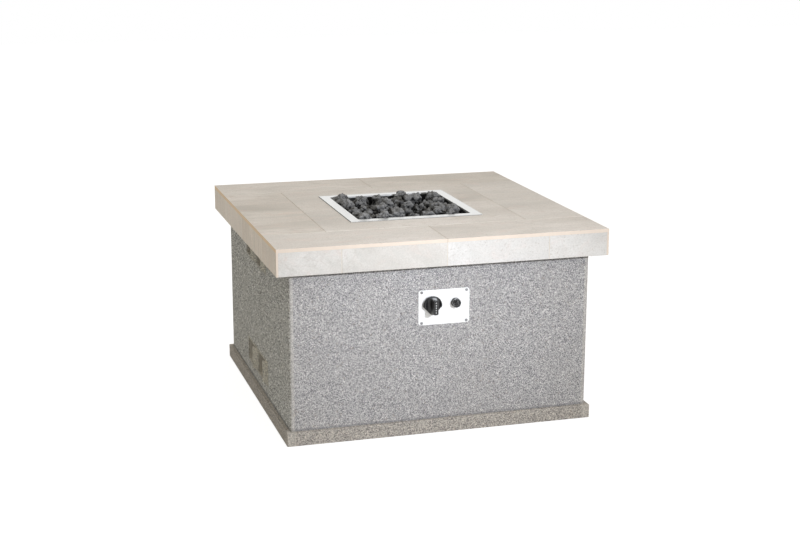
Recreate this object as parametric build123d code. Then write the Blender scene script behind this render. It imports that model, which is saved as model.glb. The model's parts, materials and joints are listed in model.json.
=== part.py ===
from build123d import *
import math
import os
import random

import numpy as np

# A square gas fire table: a rendered cement-board base on a welded steel frame, a porcelain-tiled
# top with a drop apron, and a stainless burner pan full of lava rock in the middle of the top.
# Millimetres, +Z up. The origin is the centre of the footprint on the floor, and the front,
# with the control plate, faces -Y.

# ---- The whole table
TOP_SIZE = 978.0  # square top, edge to edge
OVERALL_H = 581.0  # floor to the face of the top tiles
SLAB_H = 78.0  # tile face down to the apron's lower edge
WALL_INSET = 42.0  # edge of the top to the rendered wall
WALL_T = 17.0  # cement board with its render
WALL_CORNER_R = 8.0
FLOOR_GAP = 2.0  # walls and plinth stop this far above the floor
PLINTH_H = 39.5
PLINTH_T = 12.0
PLINTH_ROUND = 3.0

# ---- Steel frame
POST = 40.0
RAIL = 38.0
BEARER = 30.0
TUBE_WALL = 2.0
RAIL_LIFT = 12.0  # floor to the underside of the bottom rails
GLIDE_PAD = 8.0
GLIDE_PLUG = 14.0
GLIDE_FIT = 0.2
GLIDE_ROUND = 1.5

# ---- Tiled top
TOP_TILE_T = 10.0
TOP_BOARD_T = 12.7
TILE_MODULE = 305.0  # half of a full tile, and the pitch of the joints
TILE_ARRIS = 0.5
GROUT_W = 1.5
GROUT_RECESS = 0.5
APRON_TILE_T = 6.0
APRON_BOARD_T = 12.0
BRACKET_LEG = 18.0
BRACKET_DROP = 30.0
BRACKET_W = 30.0
BRACKET_T = 2.0
BRACKET_X = 250.0

# ---- Burner pan and burner
PAN_OPENING = 350.0
PAN_FLANGE = 30.0
PAN_SHEET = 1.5
PAN_DEPTH = 76.0  # flange face down to the pan floor
PAN_ROUND = 6.0
PAN_CLEAR = 3.5  # between the pan's wall and the cut-out in the top
BEARER_CLEAR = 5.0
DRAIN_R = 4.0
DRAIN_XY = 166.0  # out in the corners, where no rock can plug them
ARM_X = 92.0  # the two arms of the H-shaped burner, each side of the middle
ARM_L = 250.0  # over the domed ends
ARM_R = 9.5
BAR_R = 8.5
BURNER_WALL = 1.5
BURNER_LIFT = 21.5  # pan floor to the burner's centre lines
HUB_R = 18.0
HUB_H = 24.0
HUB_ROUND = 4.0
PORT_R = 1.3
PORT_PITCH = 18.0
NIPPLE_R = 10.65
NIPPLE_BORE_R = 8.0
NIPPLE_DROP = 30.0  # below the pan floor
LOCKNUT_T = 8.0
LOCKNUT_AF = 31.0
THREAD_FIT = 0.05

# ---- Gas train under the pan
MIXER_R = 15.0
MIXER_BORE_R = 12.0
MIXER_BASE_T = 5.0
MIXER_GRIP = 20.0  # how far the mixer screws up onto the nipple
SLOT_W = 10.0
SLOT_H = 26.0
SPUD_R = 5.0
SPUD_UP = 14.0
SPUD_AF = 13.0
SPUD_HEX_T = 5.0
JET_R = 0.9
ELBOW = 22.0
BOSS_R = 6.5
BOSS_L = 10.0
GAS_BORE_R = 3.0
CROSS_BORE_R = 2.4  # a bore drilled to meet the main one
GAS_TUBE_R = 4.76
GAS_TUBE_WALL = 0.9
FLARE_NUT_AF = 16.0
FLARE_NUT_L = 15.0
TUBE_FIRST_RUN = 245.0
TUBE_CROSS_RUN = 90.0

# ---- Control plate
PLATE_W = 152.0
PLATE_H = 102.0
PLATE_T = 1.5
PLATE_R = 8.0
PLATE_X = 4.0
PLATE_DROP = 206.0  # face of the top tiles down to the plate's middle
PLATE_Z = OVERALL_H - PLATE_DROP
PLATE_SCREW_INSET_X = 9.0
PLATE_SCREW_INSET_Z = 6.0
CUTOUT_W = 120.0
CUTOUT_H = 62.0
SCREW_R = 2.0
SCREW_HEAD_R = 4.2
SCREW_HEAD_H = 2.2
SCREW_L = 14.0
SCREW_FIT = 0.2

# ---- Gas valve, behind the plate
VALVE_X = -32.0
VALVE_RISE = 6.0  # above the plate's middle
VALVE_Z = PLATE_Z + VALVE_RISE
COVER_W = 44.0
COVER_H = 30.0
COVER_T = 6.0
VALVE_W = 30.0
VALVE_D = 36.0
NECK_R = 6.0
NECK_OUT = 5.0
NECK_FIT = 0.3
EAR_X = 17.5
EAR_SCREW_R = 1.6
EAR_HEAD_R = 3.2
CAVITY_R = 8.0
CAVITY_D = 20.0
STEM_R = 4.0
RUN_FIT = 0.05  # radial, stem in neck and button in cap
STEM_FLAT = 1.2
STEM_L = 17.0  # beyond the plate's back
COLLAR_T = 3.0
COLLAR_FIT = 0.4
SEAT_GAP = 0.3
WASHER_T = 1.0
TAIL_R = 2.8
TAIL_L = 9.0
VALVE_SPRING_R = 5.2
VALVE_SPRING_WIRE = 1.2
VALVE_SPRING_TURNS = 4
INLET_R = 7.94
INLET_L = 14.0
INLET_HEX_AF = 19.0
INLET_HEX_T = 7.0
INLET_SHANK_R = 5.0
INLET_SHANK_L = 7.0

# ---- Control knob
KNOB_R = 28.0  # upper half of the skirt, which narrows below to the pointer
KNOB_SHOULDER = -2.0  # level where the skirt starts to narrow
KNOB_SHOULDER_R = 4.0
KNOB_TIP_R = 8.5
KNOB_TIP_Y = -18.5
KNOB_GAP = 4.0
KNOB_RIM = 4.0
KNOB_STEP = 2.0
KNOB_DOME = 12.0
KNOB_DOME_IN = 3.0
KNOB_DEPTH = 36.0
KNOB_HOLLOW_R = 19.0
KNOB_HOLLOW_D = 3.0
SCOOP_R = 8.0  # along each side of the grip
SCOOP_FLOOR = 2.5  # above the rim
GRIP_W = 15.0
GRIP_UP = 25.0
GRIP_DOWN = 26.0
GRIP_ROUND = 2.5
NOSE_CUT = 7.0  # how far the pointer's lower end leans back over the grip's height
DOT_COUNT = 5
DOT_R = 1.3
DOT_T = 0.6
DOT_PROUD = 0.1
DOT_TOP = 16.0
DOT_PITCH = 7.0

# ---- Igniter
IGNITER_X = 38.0
IGNITER_RISE = 10.0  # above the plate's middle
IGNITER_Z = PLATE_Z + IGNITER_RISE
IGNITER_FLANGE_R = 13.5
IGNITER_FLANGE_T = 2.0
IGNITER_BARREL_R = 10.0
IGNITER_NOSE_R = 9.5
IGNITER_NOSE_L = 7.5
IGNITER_BORE_R = 7.5
IGNITER_BEHIND = 62.0
IGNITER_END_T = 3.0
TERMINAL_R = 3.5
TERMINAL_L = 5.0
NUT_AF = 27.0
NUT_T = 6.0
BATTERY_R = 7.25
BATTERY_L = 50.5
BATTERY_TIP_R = 2.7
BATTERY_TIP_L = 1.4
CAP_R = 13.0
CAP_L = 11.0
CAP_FRONT_T = 2.2
CAP_FIT = 0.1
CAP_LOBES = 8
CAP_FLUTE_R = 2.4
CAP_ROUND = 1.2
BUTTON_R = 5.5
BUTTON_PROUD = 2.0
BUTTON_FLANGE_R = 7.1
BUTTON_FLANGE_T = 1.2
BUTTON_ROUND = 0.8
CONTACT_SPRING_R = 5.0
CONTACT_SPRING_WIRE = 0.8
CONTACT_SPRING_TURNS = 5

# ---- Spark electrode and its lead
ROD_R = 1.8
ROD_X = -52.0
ROD_Y = 62.0
ROD_TIP = (-103.0, 60.0)
ROD_TIP_BELOW_FLANGE = 6.0
ROD_BEND_UP = 22.0  # pan floor to the bend
ROD_BEND_R = 12.0
INSULATOR_R = 4.5
INSULATOR_UP = 14.0
INSULATOR_DOWN = 16.0
INSULATOR_COLLAR_R = 8.0
INSULATOR_COLLAR_T = 3.0
ROD_FIT = 0.1
ROD_DOWN = 24.0
LEAD_R = 1.8
LEAD_OUT = 40.0  # straight back from the igniter's terminal
LEAD_CROSSING = ((-24.0, 28.0, 4.0), (-60.0, 52.0, 3.0))  # X, Y on from there, Z off the tube
LEAD_ON_TUBE = (130.0, 190.0)  # from the tube's start, where the lead lies on it
LEAD_LEAVING = ((-8.0, 56.0, 10.0), (-14.0, 110.0, 26.0))  # X, Y, Z from where it leaves
LEAD_LOOP = ((-85.0, -50.0), (-32.0, -46.0), (0.0, -26.0))  # Y, Z from the electrode's foot
TIE_T = 1.0
TIE_W = 4.0
TIE_GAP = 0.2

# ---- Vents in the side walls
VENT_W = 135.0
VENT_H = 66.0
VENT_PITCH_Y = 155.0
VENT_MID_Y = 9.5
VENT_LOW_Z = 116.0
VENT_HIGH_Z = 462.0
LOUVRE_T = 1.2
LOUVRE_RIM = 5.0
LOUVRE_BLADE = 37.0
LOUVRE_RISE = 8.0

# ---- Access door in the back wall
DOOR_W = 400.0
DOOR_H = 380.0
DOOR_Z = 262.0
DOOR_T = 1.5
DOOR_FOLD = 14.0
DOOR_GAP = 2.5
FRAME_T = 1.5
FRAME_FLANGE = 22.0
FRAME_LIP = 18.0
FRAME_FIT = 0.5
LIP_GAP = 0.5
HINGE_L = 300.0
HINGE_R = 4.0
HINGE_PIN_R = 2.0
HINGE_FIT = 0.06
HINGE_LEAF_W = 17.0
HINGE_LEAF_T = 1.2
HINGE_KNUCKLES = 5
KNUCKLE_GAP = 0.3
PIN_HEAD_R = 3.4
PIN_HEAD_T = 1.5
HANDLE_R = 14.0
HANDLE_OUT = 30.0
HANDLE_NECK_R = 6.0
HANDLE_INSET = 34.0
HANDLE_SCREW_R = 2.5
MAGNET_W = 9.0
MAGNET_H = 42.0
STRIKE_T = 1.2

# ---- Lava rock
ROCK_R = (18.0, 26.0)
ROCK_GAP = 0.3
ROCK_TRIES = 2500  # places tried for each rock
ROCK_MISSES = 6  # the bed is full when this many rocks have found no room
ROCK_PROUD_EDGE = 17.0
ROCK_PROUD_MID = 29.0
ROCK_POINTS = 18
ROCK_SEED = 11
SPHERE_STEP = 3.5  # spacing of the spheres that stand for the metalwork

# ---- Levels and half-widths that the pieces share
TOP = TOP_SIZE / 2
WALL = TOP - WALL_INSET
INSIDE = WALL - WALL_T
TILE_UNDER = OVERALL_H - TOP_TILE_T
BOARD_UNDER = TILE_UNDER - TOP_BOARD_T
APRON_LOW = OVERALL_H - SLAB_H
APRON_BACK = TOP - APRON_TILE_T
FLANGE_TOP = OVERALL_H + PAN_SHEET
PAN_FLOOR = FLANGE_TOP - PAN_DEPTH
PAN_UNDER = PAN_FLOOR - PAN_SHEET
PAN_WALL = PAN_OPENING / 2 + PAN_SHEET
PAN_HOLE = PAN_WALL + PAN_CLEAR
BURNER_Z = PAN_FLOOR + BURNER_LIFT
DOOR_TOP_FACE = WALL + FRAME_T  # outer face of the closed door and its frame
SIDES = {"front": 0, "right": 90, "back": 180, "left": 270}


# ---- Shared helpers
def save(name, *shapes):
    """Write one node: a single solid, or a group of like pieces."""
    solids = [solid for shape in shapes for solid in shape.solids()]
    export_step(solids[0] if len(solids) == 1 else Compound(solids), f"parts/{name}.step")


def block(x, y, z):
    """A box between the two limits given on each axis."""
    size = [hi - lo for lo, hi in (x, y, z)]
    middle = [(lo + hi) / 2 for lo, hi in (x, y, z)]
    return Pos(*middle) * Box(*size)


def plate(half_x, half_y, z, radius=0.0):
    """A flat rectangle about the Z axis, with rounded corners."""
    body = block((-half_x, half_x), (-half_y, half_y), z)
    return fillet(body.edges().filter_by(Axis.Z), radius) if radius else body


def cylinder(radius, z):
    """A cylinder about the Z axis between two heights."""
    return Pos(0, 0, (z[0] + z[1]) / 2) * Cylinder(radius, z[1] - z[0])


def hexagon(across_flats, z):
    """A hexagonal prism about the Z axis."""
    flat = RegularPolygon(across_flats / 2, 6, major_radius=False)
    return Pos(0, 0, z[0]) * extrude(flat, z[1] - z[0])


def turned(side, shape):
    """A shape modelled on the front, turned to another side."""
    return Rot(0, 0, SIDES[side]) * shape


def mitred(shape):
    """The front quarter of a square ring, cut off at the two mitres."""
    reach = 2 * TOP
    wedge = make_face(Polyline((0, 0), (-reach, -reach), (reach, -reach), close=True))
    return shape & Pos(0, 0, -reach) * extrude(wedge, 2 * reach)


def box_tube(size, z):
    """A square steel tube about the Z axis."""
    bore = size / 2 - TUBE_WALL
    return plate(size / 2, size / 2, z, TUBE_WALL) - plate(bore, bore, z)


def bend_radii(points):
    """The largest arc that each corner's two runs allow."""
    vectors = [Vector(*p) for p in points]
    radii = []
    for before, corner, after in zip(vectors, vectors[1:], vectors[2:]):
        run_in = corner - before
        run_out = after - corner
        half_turn = math.radians(run_in.get_angle(run_out)) / 2
        radii.append(0.45 * min(run_in.length, run_out.length) / math.tan(half_turn))
    return radii


def swept_rod(points, radius, bore=0.0, radii=None):
    """A round rod or tube along straight runs joined by arcs."""
    path = FilletPolyline(*points, radius=radii or bend_radii(points))
    start = Plane(origin=path @ 0, z_dir=path % 0)
    section = start * Circle(radius)
    if bore:
        section -= start * Circle(bore)
    return sweep(section, path=path)


def coil(radius, wire, z, turns):
    """A compression spring about the Z axis that fills the space between two heights."""
    height = z[1] - z[0] - wire
    path = Helix(pitch=height / turns, height=height, radius=radius)
    start = Plane(origin=path @ 0, z_dir=path % 0)
    return Pos(0, 0, z[0] + wire / 2) * sweep(start * Circle(wire / 2), path=path, is_frenet=True)


def on_front(x, z):
    """Placement on the front wall: local +Z points out of the wall, zero at its face."""
    return Pos(x, -WALL, z) * Rot(90, 0, 0)


def on_back(x, z):
    """Placement on the back wall: local +Z points out of the wall, zero at its face."""
    return Pos(x, WALL, z) * Rot(-90, 0, 0)


def pan_screw(length):
    """A pan-head screw standing on the local XY plane, its shank going down."""
    head = cylinder(SCREW_HEAD_R, (0, SCREW_HEAD_H))
    head = fillet(head.edges().sort_by(Axis.Z)[-1], SCREW_HEAD_H * 0.6)
    slot = block((-SCREW_HEAD_R, SCREW_HEAD_R), (-0.4, 0.4), (SCREW_HEAD_H * 0.5, SCREW_HEAD_H))
    return head + cylinder(SCREW_R, (-length, 0)) - slot


# ---- Rendered walls, with their openings
def plate_screw_places():
    half_x = PLATE_W / 2 - PLATE_SCREW_INSET_X
    half_z = PLATE_H / 2 - PLATE_SCREW_INSET_Z
    return [(PLATE_X + sx * half_x, PLATE_Z + sz * half_z) for sx in (-1, 1) for sz in (-1, 1)]


def frame_screw_places():
    half_x = door_hole()[0] + FRAME_FLANGE / 2
    half_z = door_hole()[1] + FRAME_FLANGE / 2
    return [(sx * half_x, DOOR_Z + sz * half_z) for sx in (-1, 0, 1) for sz in (-1, 1)]


def door_hole():
    """Half-width and half-height of the door frame's sleeve, outside."""
    return DOOR_W / 2 + DOOR_GAP + FRAME_T, DOOR_H / 2 + DOOR_GAP + FRAME_T


def vent_places():
    columns = [VENT_MID_Y - VENT_PITCH_Y / 2, VENT_MID_Y + VENT_PITCH_Y / 2]
    return [(y, z) for y in columns for z in (VENT_LOW_Z, VENT_HIGH_Z)]


def wall_quarter():
    ring = plate(WALL, WALL, (FLOOR_GAP, BOARD_UNDER), WALL_CORNER_R)
    ring -= plate(INSIDE, INSIDE, (FLOOR_GAP, BOARD_UNDER))
    return mitred(ring)


def screw_hole(radius):
    return cylinder(radius, (-WALL_T - 1, FRAME_T + 1))


def wall_front():
    opening = block((-CUTOUT_W / 2, CUTOUT_W / 2), (-CUTOUT_H / 2, CUTOUT_H / 2), (-WALL_T - 1, 1))
    wall = wall_quarter() - on_front(PLATE_X, PLATE_Z) * opening
    for x, z in plate_screw_places():
        wall -= on_front(x, z) * screw_hole(SCREW_R)
    return wall


def wall_back():
    half_x, half_z = door_hole()
    opening = plate(half_x + FRAME_FIT, half_z + FRAME_FIT, (-WALL_T - 1, 1))
    wall = turned("back", wall_quarter()) - on_back(0, DOOR_Z) * opening
    for x, z in frame_screw_places():
        wall -= on_back(x, z) * screw_hole(SCREW_R)
    return wall


def wall_side(side):
    wall = turned(side, wall_quarter())
    for y, z in vent_places():
        through = (-TOP, -INSIDE + 1) if side == "left" else (INSIDE - 1, TOP)
        hole = (y - VENT_W / 2, y + VENT_W / 2), (z - VENT_H / 2, z + VENT_H / 2)
        wall -= block(through, *hole)
    return wall


save("wall_panel_front", wall_front())
save("wall_panel_back", wall_back())
save("wall_panel_left", wall_side("left"))
save("wall_panel_right", wall_side("right"))


# ---- Plinth: four mitred skirting strips round the foot of the walls
def plinth_strip():
    outer = plate(WALL + PLINTH_T, WALL + PLINTH_T, (FLOOR_GAP, FLOOR_GAP + PLINTH_H), PLINTH_ROUND)
    outer = fillet(outer.faces().sort_by(Axis.Z)[-1].edges(), PLINTH_ROUND * 0.8)
    return mitred(outer - plate(WALL, WALL, (0, FLOOR_GAP + PLINTH_H + 1)))


save("plinth_strips", *[turned(s, plinth_strip()) for s in SIDES])


# ---- Welded steel frame and its floor glides
def corner_places():
    middle = INSIDE - POST / 2
    return [(sx * middle, sy * middle) for sx in (-1, 1) for sy in (-1, 1)]


def rail(z_low):
    """One rail along X between the front posts."""
    length = INSIDE - POST
    tube = Rot(0, 90, 0) * box_tube(RAIL, (-length, length))
    return Pos(0, -INSIDE + RAIL / 2, z_low + RAIL / 2) * tube


def bearer(side):
    """A tube from the front top rail to the back one, beside the pan."""
    length = INSIDE - RAIL
    tube = Rot(90, 0, 0) * box_tube(BEARER, (-length, length))
    x = PAN_HOLE + BEARER_CLEAR + BEARER / 2
    return Pos(side * x, 0, BOARD_UNDER - BEARER / 2) * tube


def floor_glide():
    pad = plate(POST / 2, POST / 2, (0, GLIDE_PAD), TUBE_WALL)
    pad = fillet(pad.faces().sort_by(Axis.Z)[0].edges(), GLIDE_ROUND)
    plug = POST / 2 - TUBE_WALL - GLIDE_FIT
    return pad + plate(plug, plug, (GLIDE_PAD, GLIDE_PAD + GLIDE_PLUG))


post = box_tube(POST, (GLIDE_PAD, BOARD_UNDER))
save("corner_posts", *[Pos(x, y, 0) * post for x, y in corner_places()])
save("floor_glides", *[Pos(x, y, 0) * floor_glide() for x, y in corner_places()])
rail_levels = (RAIL_LIFT, BOARD_UNDER - RAIL)
save("frame_rails", *[turned(s, rail(level)) for s in SIDES for level in rail_levels])
save("pan_bearers", bearer(-1), bearer(1))


# ---- Vent louvres: pressed plates with one scoop each, open towards the back
def louvre(y_mid, z_mid):
    front = y_mid - VENT_W / 2
    tip = front + LOUVRE_BLADE
    skin = LOUVRE_T / math.cos(math.atan2(LOUVRE_RISE, LOUVRE_BLADE))
    face = -WALL - LOUVRE_T
    half_y = VENT_W / 2 + LOUVRE_RIM
    half_z = VENT_H / 2 + LOUVRE_RIM
    rim = block((face, -WALL), (y_mid - half_y, y_mid + half_y), (z_mid - half_z, z_mid + half_z))
    outer = Polyline((-WALL, front), (face, front), (face - LOUVRE_RISE, tip), (-WALL, tip), close=True)
    rise = LOUVRE_RISE / LOUVRE_BLADE
    past = tip + 1
    inner_tip = face + skin - rise * (past - front)
    inner = Polyline((-INSIDE, front), (face + skin, front), (inner_tip, past), (-INSIDE, past), close=True)
    cheek = VENT_H / 2 + LOUVRE_T
    scoop = Pos(0, 0, z_mid - cheek) * extrude(make_face(outer), 2 * cheek)
    hollow = Pos(0, 0, z_mid - VENT_H / 2) * extrude(make_face(inner), VENT_H)
    window = block((-TOP, -INSIDE), (tip, y_mid + VENT_W / 2), (z_mid - VENT_H / 2, z_mid + VENT_H / 2))
    return rim + scoop - hollow - window


left_louvres = [louvre(y, z) for y, z in vent_places()]
save("vent_louvres", *left_louvres, *[mirror(piece, about=Plane.YZ) for piece in left_louvres])


# ---- Access door, its frame, hinge, handle and catch
def door_frame():
    half_x, half_z = door_hole()
    flange = plate(half_x + FRAME_FLANGE, half_z + FRAME_FLANGE, (0, FRAME_T), 3)
    depth = FRAME_T - DOOR_FOLD - LIP_GAP - FRAME_T
    sleeve = plate(half_x, half_z, (depth, FRAME_T))
    clear = plate(half_x - FRAME_T, half_z - FRAME_T, (depth + FRAME_T, FRAME_T))
    lip_hole = plate(half_x - FRAME_LIP, half_z - FRAME_LIP, (depth - 1, FRAME_T + 1))
    frame = on_back(0, DOOR_Z) * (flange + sleeve - clear - lip_hole)
    for x, z in frame_screw_places():
        frame -= on_back(x, z) * screw_hole(SCREW_R + SCREW_FIT)
    return frame


def handle_place():
    return on_back(DOOR_W / 2 - HANDLE_INSET, DOOR_Z)


def access_door():
    inner_x = DOOR_W / 2 - DOOR_T
    inner_z = DOOR_H / 2 - DOOR_T
    pan = plate(DOOR_W / 2, DOOR_H / 2, (FRAME_T - DOOR_FOLD, FRAME_T), 1)
    pan -= plate(inner_x, inner_z, (FRAME_T - DOOR_FOLD - 1, FRAME_T - DOOR_T))
    door = on_back(0, DOOR_Z) * pan
    return door - handle_place() * screw_hole(HANDLE_SCREW_R + SCREW_FIT)


def hinge_axis():
    """X and Y of the hinge pin, just outside the gap between frame and door."""
    return -DOOR_W / 2 - DOOR_GAP / 2, DOOR_TOP_FACE + HINGE_R + KNUCKLE_GAP


def hinge_leaf(direction, first_knuckle, bore):
    """One leaf with every second knuckle, its plate lying on the sheet beside the gap."""
    x, y = hinge_axis()
    step = HINGE_L / HINGE_KNUCKLES
    bottom = DOOR_Z - HINGE_L / 2
    near = x + direction * (HINGE_R + KNUCKLE_GAP)
    far = x + direction * (HINGE_LEAF_W + DOOR_GAP)
    lying = (DOOR_TOP_FACE, DOOR_TOP_FACE + HINGE_LEAF_T)
    leaf = block(sorted((near, far)), lying, (bottom, bottom + HINGE_L))
    for index in range(first_knuckle, HINGE_KNUCKLES, 2):
        low = bottom + index * step + KNUCKLE_GAP
        high = bottom + (index + 1) * step - KNUCKLE_GAP
        web = (DOOR_TOP_FACE + KNUCKLE_GAP, DOOR_TOP_FACE + HINGE_LEAF_T + KNUCKLE_GAP)
        leaf += block(sorted((x, near)), web, (low, high))
        leaf += Pos(x, y, 0) * cylinder(HINGE_R, (low, high))
    return leaf - Pos(x, y, 0) * cylinder(bore, (bottom, bottom + HINGE_L))


def hinge_pin():
    x, y = hinge_axis()
    low = DOOR_Z - HINGE_L / 2
    high = low + HINGE_L
    pin = cylinder(HINGE_PIN_R, (low, high)) + cylinder(PIN_HEAD_R, (high, high + PIN_HEAD_T))
    return Pos(x, y, 0) * (pin + cylinder(PIN_HEAD_R, (low - PIN_HEAD_T, low)))


def door_handle():
    face = FRAME_T
    neck = cylinder(HANDLE_NECK_R, (face, face + HANDLE_OUT))
    knob = cylinder(HANDLE_R, (face + HANDLE_OUT * 0.5, face + HANDLE_OUT))
    knob = fillet(knob.edges().filter_by(GeomType.CIRCLE), HANDLE_OUT * 0.15)
    body = neck + knob
    return handle_place() * (body - cylinder(HANDLE_SCREW_R, (face, face + HANDLE_OUT * 0.4)))


def handle_screw():
    inner = FRAME_T - DOOR_T
    head = cylinder(HANDLE_SCREW_R * 2, (inner - SCREW_HEAD_H, inner))
    return handle_place() * (head + cylinder(HANDLE_SCREW_R, (inner, FRAME_T + HANDLE_OUT * 0.35)))


def catch_x():
    """Limits in X of the catch, on the frame's lip clear of the door's fold."""
    outer = DOOR_W / 2 - DOOR_T - DOOR_GAP
    return outer - MAGNET_W, outer


def magnet_catch():
    lip_face = FRAME_T - DOOR_FOLD - LIP_GAP
    top = FRAME_T - DOOR_T - STRIKE_T - SEAT_GAP
    return on_back(0, DOOR_Z) * block(catch_x(), (-MAGNET_H / 2, MAGNET_H / 2), (lip_face, top))


def catch_strike():
    inner = FRAME_T - DOOR_T
    low, high = catch_x()
    half = MAGNET_H / 2 + 4
    return on_back(0, DOOR_Z) * block((low - 2, high), (-half, half), (inner - STRIKE_T, inner))


save("door_frame", door_frame())
save("access_door", access_door())
save("hinge_fixed_leaf", hinge_leaf(-1, 0, HINGE_PIN_R))
save("hinge_door_leaf", hinge_leaf(1, 1, HINGE_PIN_R + HINGE_FIT))
save("hinge_pin", hinge_pin())
save("door_handle", door_handle())
save("handle_screw", handle_screw())
save("magnet_catch", magnet_catch())
save("catch_strike", catch_strike())


# ---- Top: cement board, apron boards and their brackets
def square_ring(outer, inner, z):
    return plate(outer, outer, z) - plate(inner, inner, z)


def apron_board():
    return mitred(square_ring(APRON_BACK, APRON_BACK - APRON_BOARD_T, (APRON_LOW, BOARD_UNDER)))


def apron_bracket(x):
    back = -APRON_BACK + APRON_BOARD_T
    wide = (x - BRACKET_W / 2, x + BRACKET_W / 2)
    upright = block(wide, (back, back + BRACKET_T), (BOARD_UNDER - BRACKET_DROP, BOARD_UNDER))
    return upright + block(wide, (back, back + BRACKET_LEG), (BOARD_UNDER - BRACKET_T, BOARD_UNDER))


save("top_board", square_ring(APRON_BACK, PAN_HOLE, (BOARD_UNDER, TILE_UNDER)))
save("apron_boards", *[turned(s, apron_board()) for s in SIDES])
save(
    "apron_brackets",
    *[turned(s, apron_bracket(x)) for s in SIDES for x in (-BRACKET_X, BRACKET_X)],
)


# ---- Top tiles and the grout between them
def eased(tile):
    """A tile with its upper edges eased."""
    return chamfer(tile.faces().sort_by(Axis.Z)[-1].edges(), TILE_ARRIS)


def border_tile(x, y):
    return eased(block(x, y, (TILE_UNDER, OVERALL_H)))


def inner_tile():
    """Half of the middle field, cut out for the pan."""
    z = (TILE_UNDER, OVERALL_H)
    return eased(block(middle_row, (middle_row[0], -gap), z) - plate(PAN_HOLE, PAN_HOLE, z))


def top_grout():
    z = (TILE_UNDER, OVERALL_H - GROUT_RECESS)
    gap = GROUT_W / 2
    strips = []
    for sign in (-1, 1):
        edge = sign * TILE_MODULE
        strips.append(block((-TOP, TOP), (edge - gap, edge + gap), z))
        strips.append(block((edge - gap, edge + gap), (-TILE_MODULE, TILE_MODULE), z))
        strips.append(block((-gap, gap), sorted((edge, sign * TOP)), z))
        strips.append(block(sorted((edge, sign * PAN_HOLE)), (-gap, gap), z))
    grout = strips[0]
    for strip in strips[1:]:
        grout += strip
    return grout


gap = GROUT_W / 2
row = (-TOP, -TILE_MODULE - gap)
middle_row = (-TILE_MODULE + gap, TILE_MODULE - gap)
border = [border_tile((-TOP, -gap), row), border_tile((gap, TOP), row)]
border.append(border_tile(row, middle_row))
save("top_border_tiles", *border, *[turned("back", tile) for tile in border])
save("top_inner_tiles", inner_tile(), turned("back", inner_tile()))


# ---- Apron tiles: side strips run the full depth, front and back strips fit between them
def apron_row(half_length):
    """Tiles and grout strips of one side, modelled on the front."""
    y = (-TOP, -APRON_BACK)
    z = (APRON_LOW, TILE_UNDER)
    joints = [-TILE_MODULE, 0.0, TILE_MODULE]
    starts = [-half_length] + [x + gap for x in joints]
    ends = [x - gap for x in joints] + [half_length]
    tiles = []
    for start, end in zip(starts, ends):
        tile = block((start, end), y, z)
        tiles.append(chamfer(tile.faces().sort_by(Axis.Y)[0].edges(), TILE_ARRIS))
    recessed = (-TOP + GROUT_RECESS, -APRON_BACK)
    return tiles, [block((x - gap, x + gap), recessed, z) for x in joints]


grout_strips = [top_grout()]
for side_name in SIDES:
    tiles, strips = apron_row(TOP if side_name in ("left", "right") else APRON_BACK)
    save(f"apron_tiles_{side_name}", *[turned(side_name, tile) for tile in tiles])
    grout_strips += [turned(side_name, strip) for strip in strips]
save("tile_grout", *grout_strips)


# ---- Burner pan: a drop-in tray hanging by its flange
def burner_pan():
    outer = PAN_OPENING / 2 + PAN_FLANGE
    inner = PAN_OPENING / 2
    flange = plate(outer, outer, (OVERALL_H, FLANGE_TOP), PAN_ROUND)
    tub = plate(PAN_WALL, PAN_WALL, (PAN_UNDER, FLANGE_TOP), PAN_ROUND + PAN_SHEET)
    pan = flange + tub - plate(inner, inner, (PAN_FLOOR, FLANGE_TOP), PAN_ROUND)
    pan -= cylinder(NIPPLE_R + SCREW_FIT, (PAN_UNDER, PAN_FLOOR))
    pan -= Pos(ROD_X, ROD_Y, 0) * cylinder(INSULATOR_R + ROD_FIT, (PAN_UNDER, PAN_FLOOR))
    for sx in (-1, 1):
        for sy in (-1, 1):
            pan -= Pos(sx * DRAIN_XY, sy * DRAIN_XY, 0) * cylinder(DRAIN_R, (PAN_UNDER, PAN_FLOOR))
    return pan


def burner_arm(side, radius):
    """One arm of the H, or the hollow inside it, with domed ends."""
    reach = ARM_L / 2 - ARM_R
    arm = Rot(90, 0, 0) * cylinder(radius, (-reach, reach))
    arm += Pos(0, -reach, 0) * Sphere(radius) + Pos(0, reach, 0) * Sphere(radius)
    return Pos(side * ARM_X, 0, BURNER_Z) * arm


def burner_tubes(thinner):
    """Arms and crossbar of the H, or the hollow inside them."""
    bar = Rot(0, 90, 0) * cylinder(BAR_R - thinner, (-ARM_X, ARM_X))
    arms = burner_arm(-1, ARM_R - thinner) + burner_arm(1, ARM_R - thinner)
    return Pos(0, 0, BURNER_Z) * bar + arms


def port_places():
    per_arm = int((ARM_L / 2 - PORT_PITCH) // PORT_PITCH)
    rows = [index * PORT_PITCH for index in range(-per_arm, per_arm + 1)]
    return [(side * ARM_X, y) for side in (-1, 1) for y in rows]


def h_burner():
    """Two arms, a crossbar, a hub and the inlet nipple, welded into one hollow burner."""
    hub_z = (BURNER_Z - HUB_H / 2, BURNER_Z + HUB_H / 2)
    hub = cylinder(HUB_R, hub_z)
    hub = fillet(hub.edges().sort_by(Axis.Z)[-1], HUB_ROUND)
    nipple_end = PAN_UNDER - NIPPLE_DROP
    burner = burner_tubes(0) + hub + cylinder(NIPPLE_R, (nipple_end, hub_z[0]))
    burner -= burner_tubes(BURNER_WALL) + cylinder(NIPPLE_BORE_R, (nipple_end, BURNER_Z))
    for x, y in port_places():
        burner -= Pos(x, y, 0) * cylinder(PORT_R, (BURNER_Z, BURNER_Z + ARM_R + 1))
    return burner


def locknut(z):
    return hexagon(LOCKNUT_AF, z) - cylinder(NIPPLE_R + THREAD_FIT, z)


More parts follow.
